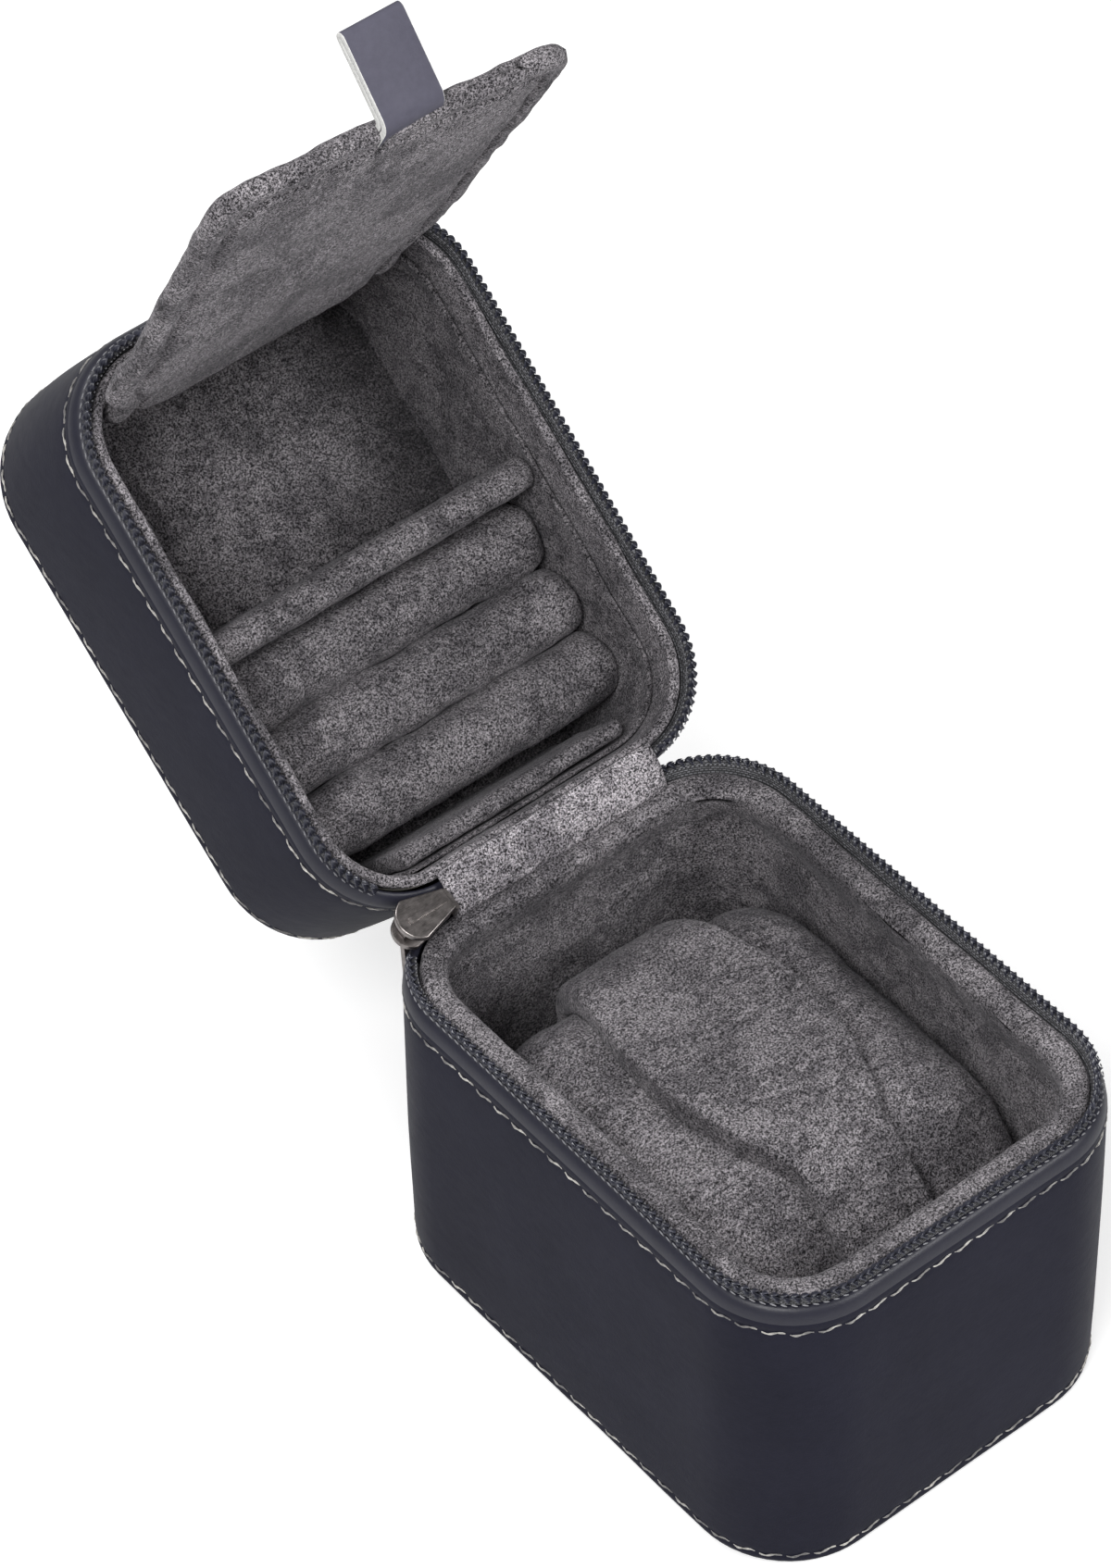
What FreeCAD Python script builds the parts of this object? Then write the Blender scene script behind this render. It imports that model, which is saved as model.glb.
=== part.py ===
import FreeCAD, Part
import math
import os

# Small travel case: a deep leather-covered base and a shallower lid that shut with a zip round
# three sides and hang together on a soft hinge at the back. The base holds a removable cushion
# with a saddle pad round its middle. The lid holds a lined tray with a divider and three
# soft rolls, and a padded flap closes the tray. Millimetres. X runs along the hinge, the front
# is at -Y, Z is up, and the origin is the centre of the underside. Everything is drawn shut and
# then opened to the pose of rest: the lid by lid_open_angle and the flap by flap_open_angle.

V = FreeCAD.Vector
os.makedirs("parts", exist_ok=True)

# Outer case
case_width = 68.4
case_depth = 90.8
corner_radius = 15.7
base_height = 57.4
lid_height = 34.3
zip_gap = 5.6
bottom_edge_radius = 1.2
foot_drop = 0.3

# Skins, from the outside in
leather = 1.0
hem = 0.95
hem_depth = 10.0
hem_slit = 0.1
hem_slit_end = 1.2
rolled_edge = 0.9
turned_margin = 1.25
panel_leather = 1.2
tape = 0.5
base_board = 1.3
floor_board = 3.0
base_lining = 1.0
floor_lining = 0.6
lid_board = 1.0
lid_lining = 0.75
layer_gap = 0.05

# Padded rims of the two linings
base_rim_rise = 0.775
lid_rim_drop = 0.8
board_below_rim = 1.8
rim_to_tape = 0.05

# Zip
coil_thickness = 1.5
coil_height = 2.5
coil_head = 0.85
coil_foot = 1.0
coil_pitch = 1.38
mesh_gap = 0.2
tape_below_mesh = 0.3
zip_start_inset = 5.5
zip_end_inset = 14.7

# Slider, chain end and puller
slider_length = 8.9
slider_tail_inset = 13.8
slider_tail_width = 3.4
slider_nose_width = 6.8
slider_outer_tail_width = 2.6
slider_outer_nose_width = 5.4
slider_plate = 0.9
slider_mouth = 2.7
slider_post_length = 2.4
slider_post_width = 1.5
slider_ridge_width = 0.9
slider_ridge_rise = 0.25
slider_open_inset = 3.32
slider_above_mesh = 1.76
chain_width = 3.6
chain_thickness = 1.8
stop_length = 0.7
chain_reach = 0.15
chain_lap = 3.2
stop_rim = 0.6
lug_thickness = 0.8
lug_rise = 1.6
lug_radius = 0.85
pin_radius = 0.45
pin_clearance = 0.12
bail_from_tail = 3.5
bail_width = 3.0
bail_wire = 0.8
bail_drop = 1.6
bail_reach = 3.0
puller_length = 17.0
puller_width = 3.6
puller_end_width = 2.8
puller_thickness = 1.0
puller_eye_radius = 1.1

# Cushion
cushion_clearance = 0.45
strap_gap = 9.15
cushion_rise = 0.5
pillow_drop = 7.9
pillow_shoulder = 13.0
pillow_toe = 8.0
pillow_end_round = 4.5
pillow_crown = 0.5
saddle_pad = 2.3
saddle_crown = 1.2
saddle_half_width = 14.0
saddle_band_half_width = 7.8
saddle_widest_y = 5.0
saddle_front_reach = 24.0
saddle_back_reach = 29.0

# Lid tray
tray_ledge_depth = 5.5
tray_clearance = 0.15
tray_lip = 0.75
tray_taper = 0.8
tray_floor = 0.9
tray_edge = 0.35
divider_width = 4.9
divider_y = -0.15
divider_round = 2.2
roll_count = 3
roll_drop = 6.5
roll_clearance = 0.2
roll_end_round = 2.5
piping_width = 2.7
piping_gap = 2.5
piping_side_gap = 14.0
piping_to_wall = 2.4
piping_foot_gap = 0.3
piping_rise = 0.95

# Flap
flap_length = 68.0
flap_thickness = 3.2
flap_side_gap = 4.9
flap_fold_inset = 8.8
flap_fold_rise = 3.1
flap_corner = 9.5
flap_neck_step = 3.8
flap_neck_length = 4.5
flap_flare = 7.5
flap_edge_round = 1.5
flap_board_thickness = 1.2
flap_board_inset = 4.0
flap_open_angle = 97.0
strip_gap = 0.5
strip_round = 1.2
strip_rise = 1.1

# Pull tab, a strip of leather folded double and sewn into the flap's free edge
tab_width = 10.0
tab_centre_x = 3.0
tab_layer = 0.9
tab_layer_gap = 0.15
tab_root = 3.0
tab_stand = 0.3
tab_bend_radius = 1.5
tab_bend_angle = 76.0
tab_length = 12.4

# Hinge
lid_open_angle = 140.86
hinge_inset = 1.015
hinge_above_mesh = 2.38
hinge_side_gap = 14.8
strip_tilt = 20.0
hinge_leather_thickness = 0.8
gusset = 0.6
gusset_bow = 0.9

# Derived places
half_x = case_width / 2
half_y = case_depth / 2
at_hem = leather + hem
at_tape = at_hem + tape
at_base_board = at_tape + base_board
at_base_lining = at_base_board + base_lining
at_lid_board = at_tape + lid_board
at_lid_lining = at_lid_board + lid_lining
margin_end = leather + turned_margin
lid_rim = base_height + zip_gap
lid_top = lid_rim + lid_height
mesh_z = base_height + zip_gap / 2
floor_top = panel_leather + floor_board
tray_ledge = lid_rim + tray_ledge_depth
tray_outside = at_lid_lining + tray_clearance
tray_room = tray_outside + tray_lip
lid_board_top = lid_top - panel_leather
lid_lining_top = lid_board_top - lid_board
tray_back = lid_lining_top - lid_lining - layer_gap
tray_inside = tray_back - tray_floor
zip_angle = lid_open_angle / 2
zip_start_x = zip_start_inset - half_x
zip_end_x = half_x - zip_end_inset
slider_tail_x = slider_tail_inset - half_x
slider_open_y = half_y - slider_open_inset
slider_open_z = mesh_z + slider_above_mesh
bail_x = slider_tail_x - bail_from_tail
hinge_y = half_y - hinge_inset
hinge_z = mesh_z + hinge_above_mesh
hinge_half_width = half_x - hinge_side_gap
pillow_bottom = floor_top + floor_lining + cushion_rise + saddle_pad
pillow_top = base_height - pillow_drop
flap_axis_y = flap_fold_inset - half_y
flap_axis_z = lid_rim + flap_fold_rise
flap_width = case_width - 2 * flap_side_gap
flap_neck_width = flap_width - 2 * flap_neck_step
strip_top = lid_rim + strip_rise
divider_front = divider_y - divider_width / 2
divider_back = divider_y + divider_width / 2
tray_back_wall = half_y - tray_room - tray_taper
piping_front = tray_back_wall - piping_to_wall
piping_half_length = half_x - piping_side_gap
roll_pitch = (piping_front - piping_gap - divider_back + roll_clearance / 2) / roll_count
roll_width = roll_pitch - roll_clearance
lug_span = bail_width + 2 * bail_wire + 2 * pin_clearance
HINGE = V(0, hinge_y, hinge_z)
X_AXIS = V(1, 0, 0)
Z_AXIS = V(0, 0, 1)


def save(name, shape):
    """Write one piece, and stop if it isn't made of sound solids."""
    if not shape.isValid() or shape.Volume <= 0 or not shape.Solids:
        raise RuntimeError(name + " is not a sound solid")
    shape.exportStep("parts/" + name + ".step")
    print(name, round(shape.Volume, 1), len(shape.Solids))


def closed_face(points, place):
    """Face inside a line of corners; a corner of four numbers ends an arc through its first two."""
    edges = []
    start = place(*points[0][-2:])
    for item in points[1:] + points[:1]:
        end = place(*item[-2:])
        if len(item) == 4:
            edges.append(Part.Arc(start, place(*item[:2]), end).toShape())
        elif (end - start).Length > 1e-6:
            edges.append(Part.LineSegment(start, end).toShape())
        start = end
    return Part.Face(Part.Wire(edges))


def plan_wire(hx, hy, radius, z):
    """Rounded rectangle about the Z axis."""
    k = radius * (1 - math.sqrt(0.5))
    points = [(hx, -hy + radius)]
    points += [(hx, hy - radius), (hx - k, hy - k, hx - radius, hy)]
    points += [(-hx + radius, hy), (-hx + k, hy - k, -hx, hy - radius)]
    points += [(-hx, -hy + radius), (-hx + k, -hy + k, -hx + radius, -hy)]
    points += [(hx - radius, -hy), (hx - k, -hy + k, hx, -hy + radius)]
    return closed_face(points, lambda x, y: V(x, y, z)).OuterWire


def block(offset, z0, z1):
    """The case's plan, drawn in by an offset, between two heights."""
    wire = plan_wire(half_x - offset, half_y - offset, corner_radius - offset, z0)
    return Part.Face(wire).extrude(V(0, 0, z1 - z0))


def band(offset_out, offset_in, z0, z1):
    """Upright wall all round, between two offsets from the outer face."""
    return block(offset_out, z0, z1).cut(block(offset_in, z0 - 1, z1 + 1))


def tapered(offset0, z0, offset1, z1):
    """The case's plan with its offset changing from one height to the other."""
    wires = []
    for offset, z in ((offset0, z0), (offset1, z1)):
        wires.append(plan_wire(half_x - offset, half_y - offset, corner_radius - offset, z))
    return Part.makeLoft(wires, True, True)


def around(points):
    """Carry a section, drawn as offset and height, all round the case."""
    cx = half_x - corner_radius
    cy = half_y - corner_radius
    side = closed_face(points, lambda d, z: V(half_x - d, -cy, z))
    front = closed_face(points, lambda d, z: V(-cx, d - half_y, z))
    back_start = closed_face(points, lambda d, z: V(half_x - d, cy, z))
    half = [side.extrude(V(0, 2 * cy, 0)), front.extrude(V(2 * cx, 0, 0))]
    half.append(side.revolve(V(cx, -cy, 0), Z_AXIS, -90))
    half.append(back_start.revolve(V(cx, cy, 0), Z_AXIS, 90))
    pieces = list(half)
    for piece in half:
        turned = piece.copy()
        turned.rotate(V(0, 0, 0), Z_AXIS, 180)
        pieces.append(turned)
    return pieces[0].multiFuse(pieces[1:]).removeSplitter()


def bar(x0, x1, y0, y1, z0, z1):
    """Box between limits."""
    return Part.makeBox(x1 - x0, y1 - y0, z1 - z0, V(x0, y0, z0))


def along_x(points, x0, x1):
    """Section in Y and Z carried along X."""
    return closed_face(points, lambda y, z: V(x0, y, z)).extrude(V(x1 - x0, 0, 0))


def edges_where(shape, test):
    """Edges whose middle passes a test."""
    found = []
    for edge in shape.Edges:
        middle = edge.valueAt((edge.FirstParameter + edge.LastParameter) / 2)
        if test(middle, edge):
            found.append(edge)
    return found


def opened(shape):
    """Swing a piece of the lid from shut to the pose of rest."""
    shape = shape.copy()
    shape.rotate(HINGE, X_AXIS, -lid_open_angle)
    return shape


# Outer leather. The bottom and top panels are inset in the turned margin of the side leather.
def side_leather(rim, up, end):
    """Side skin from its rolled edge to its turned margin; up is +1 for the lid, -1 for the base."""
    e = end - up * foot_drop
    r = bottom_edge_radius
    k = r * (1 - math.sqrt(0.5))
    q = rolled_edge
    j = q * (1 - math.sqrt(0.5))
    hem_end = rim + up * hem_depth
    slit_start = rim + up * hem_slit_end
    slit_end = hem_end + up * hem_slit
    return around([
        (0, rim + up * q),
        (0, e - up * r), (k, e - up * k, r, e),
        (margin_end, e), (margin_end, e - up * leather), (leather, e - up * leather),
        (leather, hem_end), (at_hem, hem_end),
        (at_hem, rim + up * q), (at_hem - j, rim + up * j, at_hem - q, rim),
        (q, rim), (j, rim + up * j, 0, rim + up * q),
    ]).cut(band(leather - hem_slit, leather, min(slit_start, slit_end),
                max(slit_start, slit_end)))


base_leather = side_leather(base_height, -1, 0)
lid_leather = side_leather(lid_rim, 1, lid_top)

bottom = block(margin_end + layer_gap, 0, panel_leather)
bottom = bottom.makeFillet(0.4, edges_where(bottom, lambda m, e: m.z < 0.01))
top = block(margin_end + layer_gap, lid_top - panel_leather, lid_top)
top = top.makeFillet(0.4, edges_where(top, lambda m, e: m.z > lid_top - 0.01))

# Wadding, boards and linings
base_wadding = band(leather, at_tape, foot_drop + leather + layer_gap,
                    base_height - hem_depth - layer_gap)
lid_wadding = band(leather, at_tape, lid_rim + hem_depth + layer_gap,
                   lid_top - foot_drop - leather - layer_gap)
base_walls = band(at_tape, at_base_board, floor_top, base_height - board_below_rim)
base_floor = block(at_tape, panel_leather, floor_top)
lid_shell = block(at_tape, lid_rim + board_below_rim - 0.4, lid_board_top)
lid_shell = lid_shell.cut(block(at_lid_board, lid_rim, lid_lining_top))

cap_out = at_tape + rim_to_tape
cap_radius = (at_base_lining - cap_out) / 2
cap_z = base_height + base_rim_rise - cap_radius
base_lining_wall = around([
    (at_base_board, floor_top),
    (at_base_lining, floor_top),
    (at_base_lining, cap_z),
    (cap_out + cap_radius, cap_z + cap_radius, cap_out, cap_z),
    (cap_out, base_height - board_below_rim),
    (at_base_board, base_height - board_below_rim),
])
base_lining_floor = block(at_base_lining, floor_top, floor_top + floor_lining)

lid_cap_radius = (at_lid_lining - cap_out) / 2
lid_cap_z = lid_rim - lid_rim_drop + lid_cap_radius
lid_board_edge = lid_rim + board_below_rim - 0.4
lid_lining_wall = around([
    (at_lid_board, lid_lining_top - lid_lining),
    (at_lid_lining, lid_lining_top - lid_lining),
    (at_lid_lining, lid_cap_z),
    (cap_out + lid_cap_radius, lid_cap_z - lid_cap_radius, cap_out, lid_cap_z),
    (cap_out, lid_board_edge),
    (at_lid_board, lid_board_edge),
])
lid_lining_roof = block(at_lid_board, lid_lining_top - lid_lining, lid_lining_top)

# Zip tapes. They stop at each side of the soft hinge.
hinge_gap = bar(zip_start_x, zip_end_x, half_y - corner_radius, half_y + 1, 0, lid_top)
tape_depth = hem_depth - 0.6
base_tape = band(at_hem, at_tape, base_height - tape_depth, mesh_z - tape_below_mesh)
base_tape = base_tape.cut(hinge_gap)
lid_tape = band(at_hem, at_tape, mesh_z + tape_below_mesh, lid_rim + tape_depth)
lid_tape = lid_tape.cut(hinge_gap)


def rim_station(offset, run):
    """Place and heading, in degrees, after a run along the rim from the back left corner."""
    cx = half_x - corner_radius
    cy = half_y - corner_radius
    r = corner_radius - offset
    heading = 180.0
    x = -cx
    y = half_y - offset
    for length in (0, 2 * cy, 2 * cx, 2 * cy):
        step = min(run, length)
        x += step * math.cos(math.radians(heading))
        y += step * math.sin(math.radians(heading))
        run -= step
        turn = min(90.0, math.degrees(run / r))
        a = math.radians(heading - 90)
        b = math.radians(heading - 90 + turn)
        x += r * (math.cos(b) - math.cos(a))
        y += r * (math.sin(b) - math.sin(a))
        heading += turn
        run -= r * math.radians(turn)
        if turn < 90.0:
            break
    return x, y, heading


coil_offset = at_hem - coil_thickness / 2
coil_bend = corner_radius - coil_offset
coil_start = coil_bend * math.asin((-zip_start_x - half_x + corner_radius) / coil_bend)
coil_total = 4 * (half_y - corner_radius) + 2 * (half_x - corner_radius)
coil_total += coil_bend * (1.5 * math.pi)
coil_total += coil_bend * math.acos((zip_end_x - half_x + corner_radius) / coil_bend)


def coil_row(foot_z, head_z):
    """One turn of the zip's coil, tapered to its head, repeated along the rim."""
    rings = []
    for z, length, width in ((foot_z, coil_foot, coil_thickness), (head_z, coil_head, 1.1)):
        a = length / 2
        b = width / 2
        corners = [V(-a, -b, z), V(a, -b, z), V(a, b, z), V(-a, b, z), V(-a, -b, z)]
        rings.append(Part.makePolygon(corners))
    turn = Part.makeLoft(rings, True, True)
    row = []
    count = int((coil_total - coil_start) / coil_pitch)
    for i in range(count):
        x, y, heading = rim_station(coil_offset, coil_start + (i + 0.5) * coil_pitch)
        one = turn.copy()
        one.rotate(V(0, 0, 0), Z_AXIS, heading)
        one.translate(V(x, y, 0))
        row.append(one)
    return Part.makeCompound(row)


base_coil = coil_row(mesh_z - mesh_gap / 2 - coil_height, mesh_z - mesh_gap / 2)
lid_coil = coil_row(mesh_z + mesh_gap / 2 + coil_height, mesh_z + mesh_gap / 2)

# Soft hinge, drawn in the open pose: the outer leather strip and the gusset that lines it
a = math.radians(-lid_open_angle)


def lid_point(y, z):
    """A point of the shut lid, in the open pose."""
    dy = y - hinge_y
    dz = z - hinge_z
    return (hinge_y + dy * math.cos(a) - dz * math.sin(a),
            hinge_z + dy * math.sin(a) + dz * math.cos(a))


roll_middle = half_y - at_hem / 2
low = (roll_middle, base_height)
rolled = lid_point(half_y - rolled_edge, lid_rim + rolled_edge)
reach = rolled_edge + hinge_leather_thickness / 2
high = (rolled[0] - reach * math.cos(math.radians(strip_tilt)),
        rolled[1] - reach * math.sin(math.radians(strip_tilt)))
dy = high[0] - low[0]
dz = high[1] - low[1]
span = math.hypot(dy, dz)
ny = dz / span * hinge_leather_thickness / 2
nz = -dy / span * hinge_leather_thickness / 2
hinge_leather = along_x([
    (low[0] - ny, low[1]), (low[0] + ny, low[1]),
    (high[0] + ny, high[1] + nz), (high[0] - ny, high[1] - nz),
], -hinge_half_width, hinge_half_width)

# The gusset starts on the base's rim, bows away from the leather and ends on the lid's rim
rim_y = half_y - cap_out - cap_radius
lid_rim_y = half_y - cap_out - lid_cap_radius
g0 = (rim_y, base_height + base_rim_rise + layer_gap)
g2 = lid_point(lid_rim_y, lid_rim - lid_rim_drop - layer_gap)
along_y = g2[0] - g0[0]
along_z = g2[1] - g0[1]
length = math.hypot(along_y, along_z)
uy = -along_z / length
uz = along_y / length
g1 = ((g0[0] + g2[0]) / 2 + uy * gusset_bow, (g0[1] + g2[1]) / 2 + uz * gusset_bow)
hinge_lining = along_x([
    g0, g1 + g2,
    (g2[0] + uy * gusset, g2[1] + uz * gusset),
    (g1[0] + uy * gusset, g1[1] + uz * gusset, g0[0] + uy * gusset, g0[1] + uz * gusset),
], -hinge_half_width, hinge_half_width)


# Cushion
def cushion_section(x, half, z0, z1, toe, shoulder):
    """Rounded section across the cushion at a place along X."""
    t = toe * (1 - math.sqrt(0.5))
    s = shoulder * (1 - math.sqrt(0.5))
    points = [(-half + toe, z0), (half - toe, z0), (half - t, z0 + t, half, z0 + toe)]
    points += [(half, z1 - shoulder), (half - s, z1 - s, half - shoulder, z1)]
    points += [(-half + shoulder, z1), (-half + s, z1 - s, -half, z1 - shoulder)]
    points += [(-half, z0 + toe), (-half + t, z0 + t, -half + toe, z0)]
    return closed_face(points, lambda y, z: V(x, y, z)).OuterWire


pillow_half_x = half_x - at_base_lining - cushion_clearance
pillow_half_y = half_y - at_base_lining - strap_gap
sections = []
for share in (-1.0, -0.7, 0.0):
    x = -pillow_half_x + pillow_end_round * (1 + share)
    inset = pillow_end_round * (1 - math.sqrt(1 - share * share)) * 0.8
    sections.append((x, inset))
sections.append((0.0, -pillow_crown))
sections += [(-x, inset) for x, inset in reversed(sections[:-1])]
wires = []
for x, inset in sections:
    wires.append(cushion_section(x, pillow_half_y - inset, pillow_bottom + inset,
                                 pillow_top - pillow_crown - inset,
                                 pillow_toe - min(inset, 3), pillow_shoulder - min(inset, 3)))
pillow = Part.makeLoft(wires, True, False)

pad_half_y = pillow_half_y + saddle_pad
pad_bottom = pillow_bottom - saddle_pad
pad_side = pillow_top + saddle_pad
pad_shoulder = pillow_shoulder + saddle_pad
pad_toe = pillow_toe + saddle_pad
s = pad_shoulder * (1 - math.sqrt(0.5))
t = pad_toe * (1 - math.sqrt(0.5))
flat = pad_half_y - pad_shoulder
pad_ring = along_x([
    (-pad_half_y + pad_toe, pad_bottom), (pad_half_y - pad_toe, pad_bottom),
    (pad_half_y - t, pad_bottom + t, pad_half_y, pad_bottom + pad_toe),
    (pad_half_y, pad_side - pad_shoulder),
    (pad_half_y - s, pad_side - s, flat, pad_side),
    (0, pad_side + saddle_crown, -flat, pad_side),
    (-pad_half_y + s, pad_side - s, -pad_half_y, pad_side - pad_shoulder),
    (-pad_half_y, pad_bottom + pad_toe),
    (-pad_half_y + t, pad_bottom + t, -pad_half_y + pad_toe, pad_bottom),
], -saddle_half_width - 1, saddle_half_width + 1)
w = saddle_band_half_width
h = saddle_half_width
y0 = saddle_widest_y - saddle_front_reach
y1 = saddle_widest_y
y2 = saddle_widest_y + saddle_back_reach
m0 = w + (h - w) * 0.72
leaf = closed_face([
    (-w, y0), (-m0, (y0 + y1) / 2, -h, y1), (-m0, (y1 + y2) / 2, -w, y2),
    (w, y2), (m0, (y1 + y2) / 2, h, y1), (m0, (y0 + y1) / 2, w, y0),
], lambda x, y: V(x, y, pillow_top - pillow_shoulder)).extrude(V(0, 0, pillow_shoulder + 6))
strap = bar(-w, w, -pad_half_y - 1, pad_half_y + 1, 0, pillow_top + 6)
saddle = pad_ring.common(leaf.fuse(strap).removeSplitter())
saddle = saddle.removeSplitter()
saddle = saddle.cut(pillow)

# Lid tray and what it holds
tray_cavity = tapered(tray_room, tray_ledge - 1, tray_room + tray_taper, tray_inside)
tray = block(tray_outside, tray_ledge, tray_back)
tray = tray.makeFillet(tray_edge, edges_where(tray, lambda m, e: m.z < tray_ledge + 0.01))
tray = tray.cut(tray_cavity)
roll_room = tapered(tray_room + roll_clearance, tray_ledge - 1,
                    tray_room + tray_taper + roll_clearance, tray_inside)
divider = bar(-half_x, half_x, divider_front, divider_back, tray_ledge, tray_inside)
divider = divider.makeFillet(divider_round,
                             edges_where(divider, lambda m, e: m.z < tray_ledge + 0.01
                                         and abs(m.x) < 1))
divider = divider.common(tray_cavity)
rolls = []
roll_top = tray_ledge + roll_drop
for i in range(roll_count):
    middle = divider_back + roll_clearance / 2 + roll_width / 2 + i * roll_pitch
    r = roll_width / 2
    roll = along_x([
        (middle - r, tray_inside), (middle - r, roll_top + r),
        (middle, roll_top, middle + r, roll_top + r), (middle + r, tray_inside),
    ], -half_x + tray_room, half_x - tray_room)
    ends = edges_where(roll, lambda m, e: abs(m.x) > 10 and m.z < tray_inside - 0.01)
    roll = roll.makeFillet(roll_end_round, ends)
    rolls.append(roll.common(roll_room))
piping_r = piping_width / 2
piping_top = tray_ledge - piping_rise
piping = along_x([
    (piping_front, tray_inside), (piping_front, piping_top + piping_r),
    (piping_front + piping_r, piping_top, piping_front + piping_width, piping_top + piping_r),
    (tray_back_wall - piping_foot_gap, tray_inside),
], -piping_half_length, piping_half_length)

# Flap, drawn shut: it hangs on the front strip and lies just inside the tray's ledge
strip_back = flap_axis_y - flap_thickness / 2 - strip_gap
strip = block(at_lid_lining + layer_gap, strip_top, tray_ledge - layer_gap)
strip = strip.cut(bar(-half_x, half_x, strip_back, half_y, strip_top - 1, tray_ledge + 1))
strip = strip.makeFillet(strip_round, edges_where(
    strip, lambda m, e: abs(m.y - strip_back) < 0.01 and abs(m.z - strip_top) < 0.01))

r = flap_thickness / 2
hw = flap_width / 2
nw = flap_neck_width / 2
fy = flap_axis_y - r
ey = flap_axis_y + flap_length
ny0 = flap_axis_y + flap_neck_length
ny1 = ny0 + flap_flare
mid_y = ny0 + flap_flare * 0.42
mid_x = nw + (hw - nw) * 0.68


def flap_outline(inset, z, thick):
    """Plan of the flap with its narrow neck, drawn in by an inset."""
    c = flap_corner - inset
    kk = c * (1 - math.sqrt(0.5))
    a = hw - inset
    b = nw - inset
    f = fy + inset
    e = ey - inset
    m = mid_x - inset
    points = [(b, f), (b, ny0), (m, mid_y, a, ny1), (a, e - c), (a - kk, e - kk, a - c, e)]
    points += [(-a + c, e), (-a + kk, e - kk, -a, e - c), (-a, ny1)]
    points += [(-m, mid_y, -b, ny0), (-b, f)]
    return closed_face(points, lambda x, y: V(x, y, z)).extrude(V(0, 0, thick))


cover = flap_outline(0, flap_axis_z - r, flap_thickness)
cover = cover.makeFillet(flap_edge_round, edges_where(
    cover, lambda m, e: abs(abs(m.z - flap_axis_z) - r) < 0.01))
core = flap_outline(flap_board_inset, flap_axis_z - flap_board_thickness / 2,
                    flap_board_thickness)
cover = cover.cut(core)

# Pull tab: root, bend and two leaves joined by a fold at the tip
bend = math.radians(tab_bend_angle)
lay = tab_layer + tab_layer_gap / 2
rc = tab_bend_radius
s_bend = flap_length + tab_stand


def tab_point(run, off):
    """Point along the tab's middle line, off it towards the lid, as Y and Z of the shut flap."""
    if run <= 0:
        s = s_bend + run
        n = off
    elif run <= rc * bend:
        g = run / rc
        s = s_bend + (rc + off) * math.sin(g)
        n = -rc + (rc + off) * math.cos(g)
    else:
        rest = run - rc * bend
        s = s_bend + (rc + off) * math.sin(bend) + rest * math.cos(bend)
        n = -rc + (rc + off) * math.cos(bend) - rest * math.sin(bend)
    return flap_axis_y + s, flap_axis_z + n


b0 = -tab_root - tab_stand
b1 = rc * bend
b2 = b1 + tab_length
hw_tab = tab_width / 2
outside = along_x([
    tab_point(b0, lay), tab_point(0, lay),
    tab_point(b1 / 2, lay) + tab_point(b1, lay), tab_point(b2 - lay, lay),
    tab_point(b2, 0) + tab_point(b2 - lay, -lay),
    tab_point(b1, -lay),
    tab_point(b1 / 2, -lay) + tab_point(0, -lay), tab_point(b0, -lay),
], tab_centre_x - hw_tab, tab_centre_x + hw_tab)
g = tab_layer_gap / 2
slit = along_x([
    tab_point(b1, g), tab_point(b2 - lay, g), tab_point(b2 - lay, -g), tab_point(b1, -g),
], tab_centre_x - hw_tab - 1, tab_centre_x + hw_tab + 1)
tab = outside.cut(slit)
cover = cover.cut(outside)


def flap_opened(shape):
    """Swing a piece of the flap out of the lid, then open the lid."""
    shape = shape.copy()
    shape.rotate(V(0, flap_axis_y, flap_axis_z), X_AXIS, -flap_open_angle)
    return opened(shape)


# Slider, drawn shut about the chain's middle, its nose towards -X, then turned to the open pose
slider_open = V(0, slider_open_y, slider_open_z)
slider_nose_x = slider_tail_x - slider_length


def slider_plan(tail_width, nose_width, y0, thick):
    """One plate of the slider, narrow at its tail and round at its nose."""
    a = tail_width / 2
    b = nose_width / 2
    shoulder = slider_nose_x + b * 0.75
    points = [(slider_tail_x, -a), (slider_tail_x, a), (shoulder, b)]
    points += [(slider_nose_x, 0, shoulder, -b)]
    return closed_face(points, lambda x, z: V(x, y0, mesh_z + z)).extrude(V(0, thick, 0))


yc = slider_open_y
inner_y = yc - slider_mouth / 2 - slider_plate
outer_y = yc + slider_mouth / 2
inner_plate = slider_plan(slider_tail_width, slider_nose_width, inner_y, slider_plate)
outer_plate = slider_plan(slider_outer_tail_width, slider_outer_nose_width, outer_y,
                          slider_plate)
inner_plate = inner_plate.makeFillet(0.3, edges_where(
    inner_plate, lambda m, e: abs(m.y - inner_y) < 0.01))
post_x = slider_nose_x + slider_post_length
post = bar(slider_nose_x + 0.9, post_x, inner_y + slider_plate, outer_y,
           mesh_z - slider_post_width / 2, mesh_z + slider_post_width / 2)
ridge = bar(slider_nose_x + 1.6, slider_tail_x - 0.8, inner_y - slider_ridge_rise,
            inner_y + 0.1, mesh_z - slider_ridge_width / 2, mesh_z + slider_ridge_width / 2)
lugs = []
pin_y = outer_y + slider_plate + lug_rise - lug_radius
for side in (-1, 1):
    x0 = bail_x + side * (lug_span / 2 + lug_thickness / 2) - lug_thickness / 2
    base_y = outer_y + slider_plate - 0.1
    profile = [(base_y, mesh_z - lug_radius), (pin_y, mesh_z - lug_radius),
               (pin_y + lug_radius, mesh_z, pin_y, mesh_z + lug_radius),
               (base_y, mesh_z + lug_radius)]
    lug = along_x(profile, x0, x0 + lug_thickness)
    hole = Part.makeCylinder(pin_radius + pin_clearance, lug_thickness + 2,
                             V(x0 - 1, pin_y, mesh_z), X_AXIS)
    lugs.append(lug.cut(hole))
slider = inner_plate.multiFuse([outer_plate, post, ridge] + lugs)
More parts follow.
